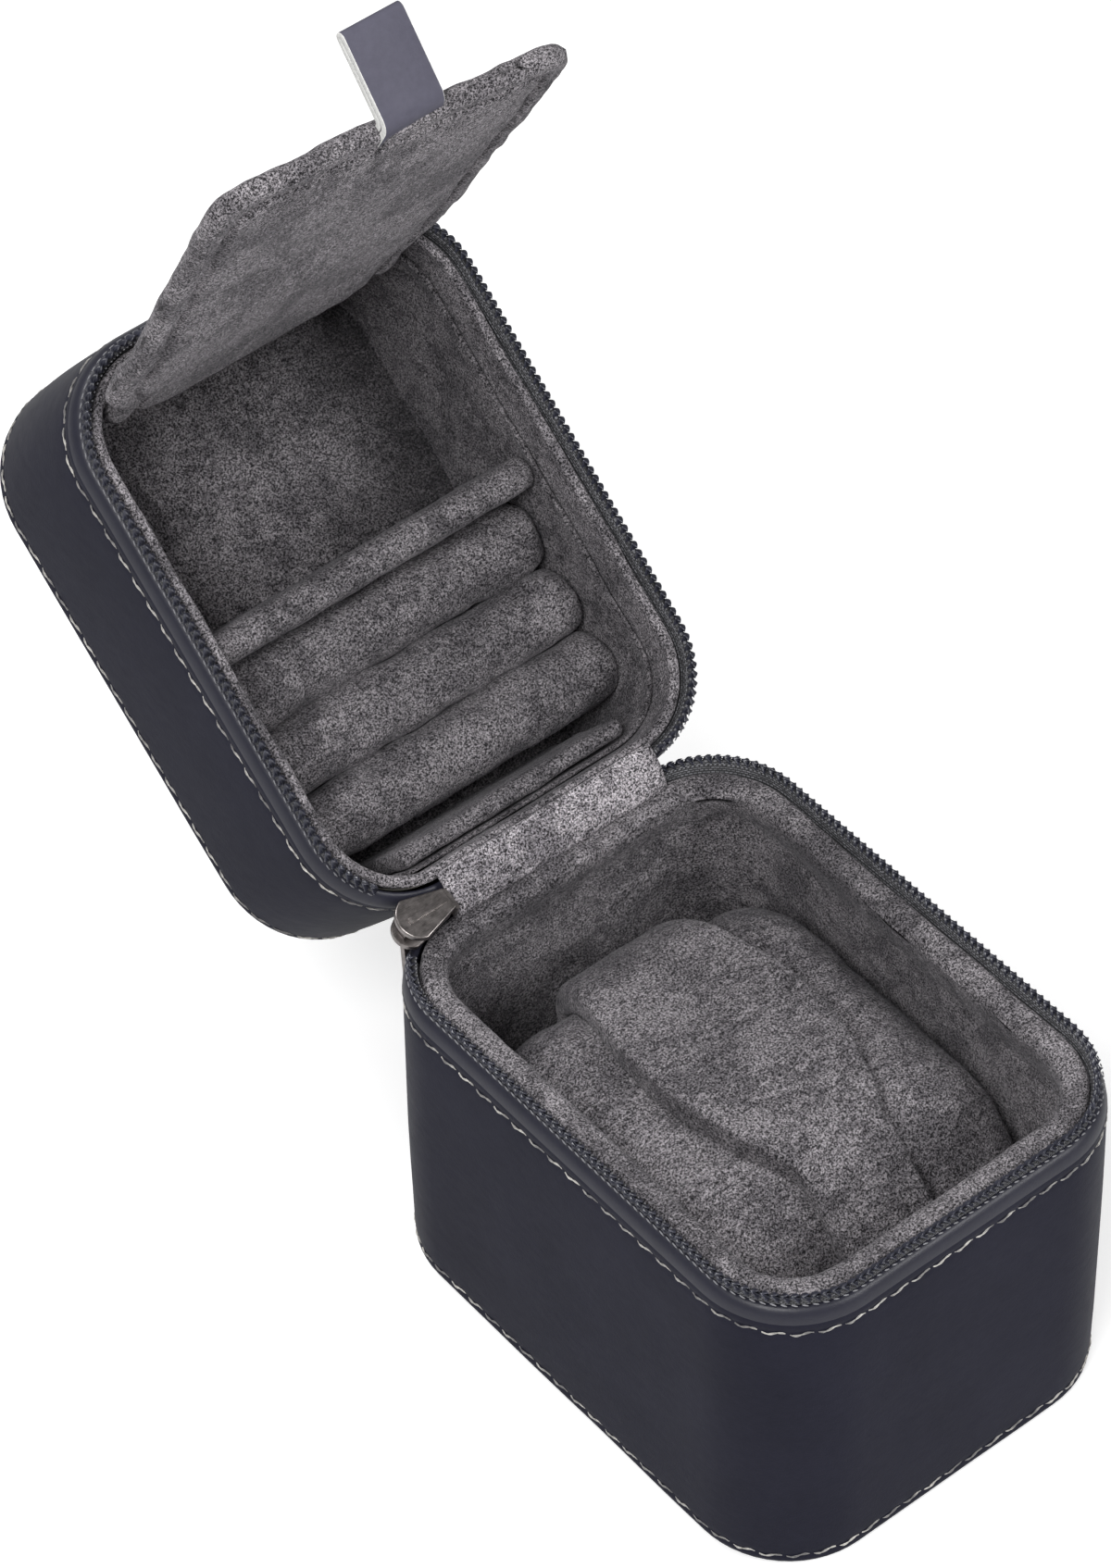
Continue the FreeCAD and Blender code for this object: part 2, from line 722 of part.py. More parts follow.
stop_x = slider_tail_x + chain_reach
chain = bar(slider_tail_x - chain_lap, stop_x, yc - chain_thickness / 2,
            yc + chain_thickness / 2, mesh_z - chain_width / 2 + stop_rim,
            mesh_z + chain_width / 2 - stop_rim)
stop = bar(stop_x, stop_x + stop_length, yc - chain_thickness / 2 - 0.25,
           yc + chain_thickness / 2 + 0.25, mesh_z - chain_width / 2,
           mesh_z + chain_width / 2)
stop = stop.makeFillet(0.25, edges_where(stop, lambda m, e: abs(m.y - yc) < 0.01))


def zip_opened(shape):
    """Turn a piece of the zip's end about the chain and set it at its open place."""
    shape = shape.copy()
    shape.translate(slider_open - V(0, yc, mesh_z))
    shape.rotate(slider_open, X_AXIS, -zip_angle)
    return shape


# Bail and puller, drawn in the open pose: the bail reaches back over the rolled edge
za = math.radians(-zip_angle)
pin = (slider_open_y + (pin_y - yc) * math.cos(za), slider_open_z + (pin_y - yc) * math.sin(za))
eye = (pin[0] + bail_reach, pin[1] - bail_drop)
bail_angle = math.atan2(-bail_drop, bail_reach)
bail_pin = Part.makeCylinder(pin_radius, lug_span + 2 * lug_thickness,
                             V(bail_x - lug_span / 2 - lug_thickness, pin[0], pin[1]), X_AXIS)
arms = []
for side in (-1, 1):
    x0 = bail_x + side * (bail_width + bail_wire) / 2 - bail_wire / 2
    r = bail_wire / 2 + 0.1
    ny = -math.sin(bail_angle) * r
    nz = math.cos(bail_angle) * r
    c = math.cos(bail_angle) * r
    s = math.sin(bail_angle) * r
    arm = along_x([
        (pin[0] + ny, pin[1] + nz),
        (pin[0] - c, pin[1] - s, pin[0] - ny, pin[1] - nz),
        (eye[0] - ny, eye[1] - nz),
        (eye[0] + c, eye[1] + s, eye[0] + ny, eye[1] + nz),
    ], x0, x0 + bail_wire)
    arms.append(arm)
bail_bar = Part.makeCylinder(bail_wire / 2, bail_width + 2 * bail_wire,
                             V(bail_x - bail_width / 2 - bail_wire, eye[0], eye[1]), X_AXIS)
bail = bail_pin.multiFuse(arms + [bail_bar])
pw = bail_width / 2 - pin_clearance
ew = puller_end_width / 2
pt = puller_thickness / 2
pz = eye[1]
R = puller_eye_radius
leaf_z = pz - 2.2
blade = closed_face([
    (bail_x - pw, pz), (bail_x - pw, leaf_z), (bail_x - puller_width / 2, leaf_z - 2.0),
    (bail_x - ew, pz - puller_length + ew),
    (bail_x, pz - puller_length, bail_x + ew, pz - puller_length + ew),
    (bail_x + puller_width / 2, leaf_z - 2.0), (bail_x + pw, leaf_z), (bail_x + pw, pz),
], lambda x, z: V(x, eye[0] - pt, z)).extrude(V(0, puller_thickness, 0))
barrel = Part.makeCylinder(R, 2 * pw, V(bail_x - pw, eye[0], pz), X_AXIS)
eye_hole = Part.makeCylinder(bail_wire / 2 + pin_clearance, 2 * pw + 2,
                             V(bail_x - pw - 1, eye[0], pz), X_AXIS)
puller = blade.fuse(barrel).cut(eye_hole).removeSplitter()

# Write the pieces
save("base_bottom_leather", bottom)
save("base_side_leather", base_leather)
save("base_wadding", base_wadding)
save("base_board_walls", base_walls)
save("base_board_floor", base_floor)
save("base_lining_wall", base_lining_wall)
save("base_lining_floor", base_lining_floor)
save("base_zip_tape", base_tape)
save("base_zip_coil", base_coil)
save("cushion_pillow", pillow)
save("cushion_saddle", saddle)
save("hinge_leather", hinge_leather)
save("hinge_lining", hinge_lining)
save("lid_side_leather", opened(lid_leather))
save("lid_top_leather", opened(top))
save("lid_wadding", opened(lid_wadding))
save("lid_board", opened(lid_shell))
save("lid_lining_wall", opened(lid_lining_wall))
save("lid_lining_roof", opened(lid_lining_roof))
save("lid_zip_tape", opened(lid_tape))
save("lid_zip_coil", opened(lid_coil))
save("lid_tray", opened(tray))
save("lid_divider", opened(divider))
for i, roll in enumerate(rolls):
    save("lid_roll_" + str(i + 1), opened(roll))
save("lid_back_piping", opened(piping))
save("lid_flap_strip", opened(strip))
save("flap_board", flap_opened(core))
save("flap_cover", flap_opened(cover))
save("pull_tab", flap_opened(tab))
save("zip_slider", zip_opened(slider))
save("zip_chain_end", zip_opened(chain))
save("zip_stop", zip_opened(stop))
save("zip_bail", bail)
save("zip_puller", puller)
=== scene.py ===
import math
import random

import bmesh
import bpy
from bpy.props import FloatProperty, FloatVectorProperty, IntProperty, PointerProperty
from mathutils import Matrix, Vector, noise


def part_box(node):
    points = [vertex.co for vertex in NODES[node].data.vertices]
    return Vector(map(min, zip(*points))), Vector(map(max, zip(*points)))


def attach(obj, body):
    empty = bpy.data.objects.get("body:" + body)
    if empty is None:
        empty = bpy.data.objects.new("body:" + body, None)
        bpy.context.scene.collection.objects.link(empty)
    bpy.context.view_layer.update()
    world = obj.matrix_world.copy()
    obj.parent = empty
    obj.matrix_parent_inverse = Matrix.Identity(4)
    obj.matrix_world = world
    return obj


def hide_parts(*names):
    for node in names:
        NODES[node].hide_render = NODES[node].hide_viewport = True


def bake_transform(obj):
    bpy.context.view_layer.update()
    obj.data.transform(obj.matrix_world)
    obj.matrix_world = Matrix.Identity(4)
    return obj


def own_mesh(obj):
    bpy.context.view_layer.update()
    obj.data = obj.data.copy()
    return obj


bl_info = {
    "name": "Small travel case",
    "version": (1, 0, 0),
    "blender": (4, 5, 0),
    "location": "View3D > Sidebar > Travel case",
    "description": "Covers, lines and zips the packed travel case",
    "category": "Object",
}

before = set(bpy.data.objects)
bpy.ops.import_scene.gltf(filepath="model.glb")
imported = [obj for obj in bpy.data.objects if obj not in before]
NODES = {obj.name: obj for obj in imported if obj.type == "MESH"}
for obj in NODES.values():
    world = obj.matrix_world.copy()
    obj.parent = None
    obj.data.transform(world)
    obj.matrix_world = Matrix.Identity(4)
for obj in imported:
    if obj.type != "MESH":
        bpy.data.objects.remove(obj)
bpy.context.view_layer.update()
MM = 0.001
X_AXIS = Vector((1, 0, 0))
Z_AXIS = Vector((0, 0, 1))
QUARTER = math.pi / 2


def length(name, millimetres, text):
    """A length that the user may change, given here in millimetres."""
    return FloatProperty(name=name, description=text, default=millimetres * MM, unit="LENGTH",
                         precision=5)


def turn(name, degrees, text):
    """An angle that the user may change, given here in degrees."""
    return FloatProperty(name=name, description=text, default=math.radians(degrees),
                         subtype="ANGLE")


def portion(name, value, text):
    """A share from 0 to 1 that the user may change."""
    return FloatProperty(name=name, description=text, default=value, min=0, max=1,
                         subtype="FACTOR")


def colour(name, value, text):
    """A linear colour that the user may change."""
    return FloatVectorProperty(name=name, description=text, default=value, subtype="COLOR",
                               min=0, max=1)


class CaseSizes(bpy.types.PropertyGroup):
    """Sizes of the leather shell."""
    width: length("Width", 68.4, "Across the case")
    depth: length("Depth", 90.8, "From front to back")
    corner: length("Corner radius", 15.7, "Corner of the plan")
    base_rim: length("Base rim", 57.4, "Height of the base's rolled edge")
    lid_rim: length("Lid rim", 63.0, "Height of the lid's rolled edge when shut")
    lid_top: length("Lid top", 97.3, "Height of the shut case")
    leather: length("Leather", 1.0, "Thickness of the side leather")
    hem: length("Hem", 0.95, "Thickness of the turned leather inside the rim")
    hem_depth: length("Hem depth", 10.0, "How far the turned leather reaches")
    foot: length("Foot", 0.3, "Height of the side leather's lower edge")
    margin: length("Turned margin", 2.25, "Width of the margin under the end panels")
    roll_width: length("Roll width", 1.6, "How far in the rolled edge rounds")
    roll_height: length("Roll height", 2.9, "How far down the rolled edge rounds")
    groove: length("Seam groove", 0.2, "Depth the seams pull into the leather")


class ZipSizes(bpy.types.PropertyGroup):
    """Sizes of the zip."""
    pitch: length("Pitch", 1.38, "From one turn of the coil to the next")
    start: length("Start", -28.7, "Where the coil starts, behind the left corner")
    end: length("End", 19.5, "Where the coil ends, behind the right corner")
    coil_offset: length("Coil offset", 1.32, "From the outer face to the coil's middle")
    coil_width: length("Coil width", 1.5, "Across the coil")
    base_head: length("Base coil head", 60.05, "Top of the base's coil")
    lid_head: length("Lid coil head", 60.35, "Lowest place of the lid's coil when shut")
    coil_height: length("Coil height", 1.6, "From the coil's foot to its head")
    tape: length("Tape", 0.5, "Thickness of the woven tape")


class SewingSizes(bpy.types.PropertyGroup):
    """Sizes of the lockstitch."""
    stitch: length("Stitch length", 3.9, "From one hole to the next")
    thread: length("Thread", 0.23, "Thickness of the twisted thread")
    rim_drop: length("Rim seam", 4.3, "From the rolled edge to its seam")
    foot_rise: length("Foot seam", 2.1, "From the turned edge to its seam")


class LiningSizes(bpy.types.PropertyGroup):
    """Sizes of the linings and the lid's tray."""
    board: length("Base board", 3.75, "Offset of the lining's back from the outer face")
    base_face: length("Base lining face", 4.75, "Offset of the base's lining")
    rim_out: length("Rim outside", 2.5, "Offset of the padded rim's outer side")
    rim_pad: length("Rim padding", 1.75, "How far the padded rim stands into the base")
    base_cap: length("Base rim top", 58.175, "Top of the base's padded rim")
    floor: length("Base floor", 4.2, "Height of the floor board")
    lid_board: length("Lid board", 3.45, "Offset of the lid lining's back")
    lid_face: length("Lid lining face", 4.2, "Offset of the lid's lining")
    lid_cap: length("Lid rim edge", 62.2, "Lowest place of the lid's padded rim when shut")
    lid_roof: length("Lid roof", 94.35, "Height of the lid's roof lining when shut")
    tray_out: length("Tray outside", 4.35, "Offset of the tray's outer side")
    tray_lip: length("Tray lip", 5.1, "Offset of the tray's mouth")
    tray_foot: length("Tray foot", 5.9, "Offset of the tray's inner wall at its floor")
    ledge: length("Tray ledge", 68.5, "Height of the tray's mouth when shut")
    tray_floor: length("Tray floor", 93.4, "Height of the tray's floor when shut")


class FlapSizes(bpy.types.PropertyGroup):
    """Sizes of the flap and its pull tab, as they lie when shut."""
    axis_y: length("Fold, Y", -36.6, "Where the flap folds")
    axis_z: length("Fold, Z", 66.1, "Where the flap folds")
    reach: length("Length", 76.8, "From the fold to the free edge")
    width: length("Width", 58.6, "Across the flap")
    neck: length("Neck", 51.0, "Across the flap at its fold")
    corner: length("Corner radius", 8.7, "Corners of the free edge")
    thickness: length("Thickness", 3.2, "Thickness of the padded flap")
    seam: length("Hem seam", 4.2, "From the edge to the sewn hem")
    curl: turn("Curl", -3.6, "How far the free end curls away from the tray")
    twist: length("Twist", 2.2, "How far the left side of the free end lags the right")
    opened: turn("Opened", 97.0, "How far the flap stands open")
    shut_share: portion("Shut share", 0.885, "Length left when the shut lid folds the free end")
    tab_width: length("Tab width", 10.0, "Across the pull tab")
    tab_centre: length("Tab place", 1.0, "Where the tab stands along the edge")
    tab_layer: length("Tab leather", 0.95, "One layer of the folded tab")
    tab_reach: length("Tab length", 12.6, "From the tab's bend to its fold")
    tab_bend: turn("Tab bend", 68.0, "How far the tab turns out of the flap")


class HingeSizes(bpy.types.PropertyGroup):
    """Place of the soft hinge and how far the lid stands open."""
    axis_y: length("Axis, Y", 44.385, "Line the lid turns about")
    axis_z: length("Axis, Z", 62.58, "Line the lid turns about")
    opened: turn("Opened", 140.86, "How far the lid stands open")
    half_width: length("Half width", 19.4, "Half the width of the soft hinge")


class CaseColours(bpy.types.PropertyGroup):
    """Colours of the finishes."""
    leather: colour("Leather", (0.0200, 0.0202, 0.0320), "Slate navy leather")
    suede_dark: colour("Suede, dark", (0.022, 0.021, 0.023), "Pressed nap")
    suede_light: colour("Suede, light", (0.44, 0.412, 0.435), "Raised nap")
    tab: colour("Tab leather", (0.106, 0.103, 0.135), "Paler leather of the pull tab")
    thread: colour("Thread", (0.62, 0.60, 0.56), "Lockstitch")
    coil: colour("Coil", (0.026, 0.027, 0.040), "Zip coil")
    tape: colour("Tape", (0.085, 0.085, 0.092), "Zip tape")
    nickel: colour("Nickel", (0.27, 0.247, 0.240), "Slider and puller")
    raw_edge: colour("Raw edge", (0.80, 0.80, 0.78), "Undyed edge of the tab")
    floor: colour("Floor", (0.75, 0.75, 0.75), "Floor of the stage")


class StageSettings(bpy.types.PropertyGroup):
    """Camera and lights."""
    azimuth: turn("Azimuth", -38.324, "Camera's turn round the case")
    elevation: turn("Elevation", 47.572, "Camera's height above the horizon")
    roll: turn("Roll", -1.471, "Camera's roll")
    distance: length("Distance", 969.644, "From the camera to its target")
    focal: FloatProperty(name="Focal length", description="Lens, in millimetres",
                         default=147.24, min=1)
    world: FloatProperty(name="World", description="Strength of the even light", default=0.24,
                         min=0)
    key: FloatProperty(name="Key", description="Power of the key light", default=4.6, min=0,
                       unit="POWER")
    fill: FloatProperty(name="Fill", description="Power of the fill light", default=3.0, min=0,
                        unit="POWER")
    top: FloatProperty(name="Top", description="Power of the light overhead", default=2.6,
                       min=0, unit="POWER")
    seed: IntProperty(name="Seed", description="Start of the random draws", default=7, min=0)


def case():
    """Every setting of the case."""
    return bpy.context.scene.travel_case


# Mesh helpers

def verts_of(geom):
    """The vertices among some geometry."""
    return [g for g in geom if isinstance(g, bmesh.types.BMVert)]


def rounded(bm, geom, offset, segments, affect="EDGES", slot=-1, clamp=False):
    """Round some corners or edges."""
    bmesh.ops.bevel(bm, geom=geom, offset=offset, offset_type="OFFSET", segments=segments,
                    profile=0.5, affect=affect, material=slot, clamp_overlap=clamp)


def linked(name, data):
    """A new object for some data, linked to the scene."""
    obj = bpy.data.objects.new(name, data)
    bpy.context.scene.collection.objects.link(obj)
    return obj


def ring(bm, radius, segments):
    """A circle that faces along X, as its vertices and its edges."""
    circle = bmesh.ops.create_circle(bm, cap_ends=False, radius=radius,
                                     segments=segments)["verts"]
    edges = list({e for v in circle for e in v.link_edges})
    bmesh.ops.rotate(bm, verts=circle, cent=(0, 0, 0), matrix=Matrix.Rotation(QUARTER, 3, "Y"))
    return circle, edges


def refinish(names, finish):
    """Give carried CAD nodes another finish."""
    for name in names:
        NODES[name].data.materials.clear()
        NODES[name].data.materials.append(finish)


def section(bm, corners, place, steps=5):
    """Join a few corners into a section and round those that have a radius."""
    verts = [bm.verts.new(place(c[0] * MM, c[1] * MM)) for c in corners]
    for pair in zip(verts, verts[1:] + verts[:1]):
        bm.edges.new(pair)
    for vert, corner in zip(verts, corners):
        if len(corner) > 2:
            rounded(bm, [vert], corner[2] * MM, steps, "VERTICES")
    return bm.verts[:] + bm.edges[:]


def carry(bm, geom, steps, angle=0.0, centre=(0, 0, 0), axis=Z_AXIS, move=(0, 0, 0)):
    """Carry a section along a straight run or round a bend."""
    out = bmesh.ops.spin(bm, geom=geom, cent=centre, axis=axis, dvec=Vector(move) / steps,
                         angle=angle, steps=steps, use_duplicate=False)
    return out["geom_last"]


def centres():
    """Centres of the plan's corners, along X and Y."""
    sizes = case().shell
    return sizes.width / 2 - sizes.corner, sizes.depth / 2 - sizes.corner


def at_back(offset, z):
    """A point of the middle of the back, from its offset and height."""
    return Vector((0, case().shell.depth / 2 - offset, z))


def carry_round(bm, geom, bend_steps=12, side_step=3.0):
    """Carry a section from the middle of the back all round the plan."""
    cx, cy = centres()
    side = max(2, round(2 * cy / MM / side_step))
    front = max(2, round(2 * cx / MM / side_step / 2) * 2)
    geom = carry(bm, geom, front // 2, move=(-cx, 0, 0))
    runs = ((-cx, cy, side, (0, -2 * cy, 0)), (-cx, -cy, front, (2 * cx, 0, 0)),
            (cx, -cy, side, (0, 2 * cy, 0)), (cx, cy, front // 2, (-cx, 0, 0)))
    for x, y, steps, move in runs:
        geom = carry(bm, geom, bend_steps, QUARTER, (x, y, 0))
        geom = carry(bm, geom, steps, move=move)
    bmesh.ops.remove_doubles(bm, verts=bm.verts, dist=0.005 * MM)


def carry_along_zip(bm, geom, offset):
    """Carry a section, drawn at the middle of the back, along the zip's run."""
    bend_steps, side_step = 14, 1.5
    sizes = case().zip
    cx, cy = centres()
    r = case().shell.corner - offset
    first = math.asin((-sizes.start - cx) / r)
    last = math.acos((sizes.end - cx) / r)
    verts = verts_of(geom)
    bmesh.ops.translate(bm, verts=verts, vec=(-cx, 0, 0))
    bmesh.ops.rotate(bm, verts=verts, cent=(-cx, cy, 0), matrix=Matrix.Rotation(first, 3, "Z"))
    side = round(2 * cy / MM / side_step)
    front = round(2 * cx / MM / side_step)
    geom = carry(bm, geom, bend_steps, QUARTER - first, (-cx, cy, 0))
    geom = carry(bm, geom, side, move=(0, -2 * cy, 0))
    geom = carry(bm, geom, bend_steps, QUARTER, (-cx, -cy, 0))
    geom = carry(bm, geom, front, move=(2 * cx, 0, 0))
    geom = carry(bm, geom, bend_steps, QUARTER, (cx, -cy, 0))
    geom = carry(bm, geom, side, move=(0, 2 * cy, 0))
    carry(bm, geom, bend_steps, last, (cx, cy, 0))


def plan_slab(bm, offset, z0, z1):
    """Slab with the case's plan, drawn in by an offset, between two heights."""
    start = bm.verts.new(at_back(offset, z0))
    before = set(bm.verts)
    carry_round(bm, [start])
    loop = [v for v in bm.verts if v not in before or v == start]
    edges = list({e for v in loop if v.is_valid for e in v.link_edges})
    face = bmesh.ops.contextual_create(bm, geom=edges)["faces"]
    top = bmesh.ops.extrude_face_region(bm, geom=face)["geom"]
    bmesh.ops.translate(bm, verts=verts_of(top), vec=(0, 0, z1 - z0))


def ripple(bm, amount, size, seed):
    """Move points along their normals by a smooth, seeded noise."""
    bm.normal_update()
    shift = Vector((seed * 3.7, seed * 1.3, seed * 2.1))
    moves = [(vert, vert.normal * noise.noise(vert.co / (size * MM) + shift) * amount * MM)
             for vert in bm.verts]
    for vert, move in moves:
        vert.co += move


def opened_about(sizes, before):
    """The turn about a group's axis from shut to open, and an earlier turn before it."""
    place = Matrix.Translation((0, sizes.axis_y, sizes.axis_z))
    return before @ place @ Matrix.Rotation(-sizes.opened, 4, "X") @ place.inverted()


def lid_frame():
    """The turn that takes a piece of the lid from shut to open."""
    return opened_about(case().hinge, Matrix.Identity(4))


def flap_frame():
    """The turn that takes a piece of the flap from shut to open."""
    return opened_about(case().flap, lid_frame())


def finish_piece(name, bm, material, body, replaced=(), turned=None, recalc=True):
    """Make a mesh object, give it its finish and set it on its body."""
    bmesh.ops.remove_doubles(bm, verts=bm.verts, dist=0.003 * MM)
    if recalc:
        bmesh.ops.recalc_face_normals(bm, faces=bm.faces)
    if turned:
        bmesh.ops.transform(bm, matrix=turned, verts=bm.verts)
    mesh = bpy.data.meshes.new(name)
    bm.to_mesh(mesh)
    bm.free()
    mesh.shade_smooth()
    obj = linked(name, mesh)
    for item in material if isinstance(material, list) else [material]:
        mesh.materials.append(item)
    if body:
        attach(obj, body)
    if replaced:
        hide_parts(*replaced)
    return obj


def softened(node, voxel, rounds, swell=0.0):
    """Start a soft piece from a CAD solid: an even mesh with its sharp edges rounded off."""
    bm = bmesh.new()
    bm.from_mesh(NODES[node].data)
    bmesh.ops.remove_doubles(bm, verts=bm.verts, dist=0.02 * MM)
    mesh = bpy.data.meshes.new("form")
    bm.to_mesh(mesh)
    bm.free()
    form = linked("form", mesh)
    modifier = form.modifiers.new("Remesh", "REMESH")
    modifier.mode = "VOXEL"
    modifier.voxel_size = voxel * MM
    graph = bpy.context.evaluated_depsgraph_get()
    even = bpy.data.meshes.new_from_object(form.evaluated_get(graph))
    bpy.data.objects.remove(form)
    bm = bmesh.new()
    bm.from_mesh(even)
    bpy.data.meshes.remove(even)
    for _ in range(rounds):
        bmesh.ops.smooth_vert(bm, verts=bm.verts, factor=0.5, use_axis_x=True,
                              use_axis_y=True, use_axis_z=True)
    if swell:
        bm.normal_update()
        for vert, move in [(v, v.normal * swell * MM) for v in bm.verts]:
            vert.co += move
    return bm


def station(offset, run):
    """Place and heading after a run along the rim from the back left corner."""
    cx, cy = centres()
    r = case().shell.corner - offset
    heading = math.pi
    x = -cx
    y = case().shell.depth / 2 - offset
    for leg in (0, 2 * cy, 2 * cx, 2 * cy, 2 * cx):
        step = min(run, leg)
        x += step * math.cos(heading)
        y += step * math.sin(heading)
        run -= step
        bend = min(QUARTER, run / r)
        x += r * (math.cos(heading - QUARTER + bend) - math.cos(heading - QUARTER))
        y += r * (math.sin(heading - QUARTER + bend) - math.sin(heading - QUARTER))
        heading += bend
        run -= r * bend
        if bend < QUARTER:
            break
    return x, y, heading


def rim_length(offset):
    """Length of the whole rim at an offset."""
    cx, cy = centres()
    return 4 * (cx + cy) + 2 * math.pi * (case().shell.corner - offset)


# Materials

def fill(tree, made, **inputs):
    """Fill or link a node's inputs. A name like i0 is an input's number."""
    for name, value in inputs.items():
        numbered = name[0] == "i" and name[1:].isdigit()
        socket = made.inputs[int(name[1:]) if numbered else name.replace("_", " ")]
        if isinstance(value, bpy.types.NodeSocket):
            tree.links.new(value, socket)
        else:
            socket.default_value = value
    return made


def node(tree, kind, settings=(), **inputs):
    """Add a shader node, set its options and fill or link its inputs."""
    made = tree.nodes.new(kind)
    for name, value in dict(settings).items():
        setattr(made, name, value)
    return fill(tree, made, **inputs)


def material(name):
    """A new material, its tree and its main shader."""
    made = bpy.data.materials.get(name) or bpy.data.materials.new(name)
    made.use_nodes = True
    return made, made.node_tree, made.node_tree.nodes["Principled BSDF"]


def ramp(tree, factor, low, high, dark, light):
    """A two-colour ramp between two limits."""
    made = node(tree, "ShaderNodeValToRGB", Fac=factor)
    made.color_ramp.elements[0].position = low
    made.color_ramp.elements[1].position = high
    made.color_ramp.elements[0].color = (*dark, 1)
    made.color_ramp.elements[1].color = (*light, 1)
    return made.outputs["Color"]


def maths(tree, operation, a, b):
    """One sum of two values."""
    return node(tree, "ShaderNodeMath", {"operation": operation}, i0=a, i1=b).outputs[0]


def weighed(tree, a, weight_a, b, weight_b):
    """Two values added by their weights."""
    return maths(tree, "ADD", maths(tree, "MULTIPLY", a, weight_a),
                 maths(tree, "MULTIPLY", b, weight_b))


def scaled(tone, by):
    """A tone made darker or lighter, up to full."""
    return [min(1, c * by) for c in tone]


def multiplied(tree, a, b, factor=1.0):
    """One colour darkened by another."""
    made = node(tree, "ShaderNodeMix", {"data_type": "RGBA", "blend_type": "MULTIPLY"},
                Factor=factor, A=a, B=b)
    return made.outputs["Result"]


def ranged(tree, value, low, high):
    """A value carried to another range."""
    return node(tree, "ShaderNodeMapRange", Value=value, To_Min=low,
                To_Max=high).outputs["Result"]


def bumped(tree, strength, distance, height):
    """Fine relief, its distance in millimetres."""
    return node(tree, "ShaderNodeBump", Strength=strength, Distance=distance * MM,
                Height=height).outputs["Normal"]


def noise_at(tree, place, scale, detail=2.0, roughness=0.5, distortion=0.0):
    """Smooth noise at a place."""
    made = node(tree, "ShaderNodeTexNoise", Vector=place, Scale=scale, Detail=detail,
                Roughness=roughness, Distortion=distortion)
    return made.outputs["Fac"]


def object_place(tree, scale=(1, 1, 1), turned=(0, 0, 0)):
    """Object coordinates through a Mapping node."""
    coords = node(tree, "ShaderNodeTexCoord")
    made = node(tree, "ShaderNodeMapping", Vector=coords.outputs["Object"], Scale=scale,
                Rotation=turned)
    return made.outputs["Vector"]


def leather_material(name="slate_leather", tone=None, polish=0.03):
    """Smooth full-grain leather with fine pores; polish is higher where it is burnished."""
    made, tree, shader = material(name)
    tone = tone or case().colours.leather
    place = object_place(tree)
    shade = weighed(tree, noise_at(tree, place, 60, 3, 0.6), 0.6,
                    noise_at(tree, place, 900, 4, 0.6), 0.4)
    pores = node(tree, "ShaderNodeTexVoronoi", {"feature": "DISTANCE_TO_EDGE"}, Vector=place,
                 Scale=1500)
    grain = maths(tree, "MINIMUM", pores.outputs["Distance"], 0.12)
    creases = noise_at(tree, object_place(tree, (1, 1, 2.2), (0.2, 0.4, 0.3)), 350, 3, 0.55)
    height = weighed(tree, grain, 2.2, creases, 0.8)
    fill(tree, shader, Specular_IOR_Level=polish, Normal=bumped(tree, 0.22, 0.12, height),
         Base_Color=ramp(tree, shade, 0.3, 0.7, scaled(tone, 0.88), scaled(tone, 1.18)),
         Roughness=ranged(tree, creases, 0.34, 0.48))
    return made


def suede_material(name="grey_suede", painted_light_share=1.0, nap=(1, 1, 1)):
    """Soft suede: short bright fibres on a darker ground, with patches of brushed nap. A share
    raises or lowers the light tone, giving lit and shaded copies of one suede as painted light
    and painted shade.
    """
    made, tree, shader = material(name)
    tones = case().colours
    place = object_place(tree)
    cloud = noise_at(tree, place, 75, 3, 0.55, 0.6)
    stroke = noise_at(tree, object_place(tree, nap, (0.3, 0.2, 0.6)), 300, 3, 0.6, 1.2)
    fibre = noise_at(tree, place, 3200, 2, 0.7)
    sparkle = noise_at(tree, object_place(tree, (1, 1.8, 1), (0.5, 0.9, 0.2)), 5200, 2, 0.7)
    # The light tone is scaled by the share: above 1 it is painted light, below 1 it is painted
    # shade.
    flecks = ramp(tree, weighed(tree, fibre, 0.58, sparkle, 0.42), 0.44, 0.60,
                  tones.suede_dark, scaled(tones.suede_light, painted_light_share))
    patches = ramp(tree, weighed(tree, cloud, 0.5, stroke, 0.5), 0.435, 0.565,
                   (0.50, 0.50, 0.51), (1.0, 1.0, 1.0))
    fill(tree, shader, Base_Color=multiplied(tree, flecks, patches), Roughness=0.95,
         Normal=bumped(tree, 0.8, 0.25, weighed(tree, fibre, 0.6, stroke, 0.5)),
         Specular_IOR_Level=0.1, Sheen_Weight=0.12, Sheen_Roughness=0.45,
         Sheen_Tint=(0.75, 0.74, 0.78, 1))
    return made


def thread_material():
    """Twisted sewing thread with a light sheen, greyed in stretches."""
    made, tree, shader = material("ivory_thread")
    tone = case().colours.thread
    fibre = noise_at(tree, object_place(tree), 4200, 2, 0.6)
    # Darker in random stretches along the thread.
    dim_stretches = noise_at(tree, object_place(tree), 190, 2, 0.6)
    twist = ramp(tree, fibre, 0.3, 0.7, scaled(tone, 0.7), scaled(tone, 1.25))
    greyed = ramp(tree, dim_stretches, 0.40, 0.60, (0.30, 0.30, 0.32), (1.0, 1.0, 1.0))
    fill(tree, shader, Base_Color=multiplied(tree, twist, greyed), Roughness=0.55,
         Sheen_Weight=0.2)
    return made


def coil_material():
    """Glossy nylon coil."""
    made, tree, shader = material("nylon_coil")
    tone = case().colours.coil
    mottle = noise_at(tree, object_place(tree), 1200, 2, 0.5)
    fill(tree, shader, Roughness=0.30, Specular_IOR_Level=0.7,
         Base_Color=ramp(tree, mottle, 0.3, 0.7, scaled(tone, 0.8), scaled(tone, 1.5)))
    return made


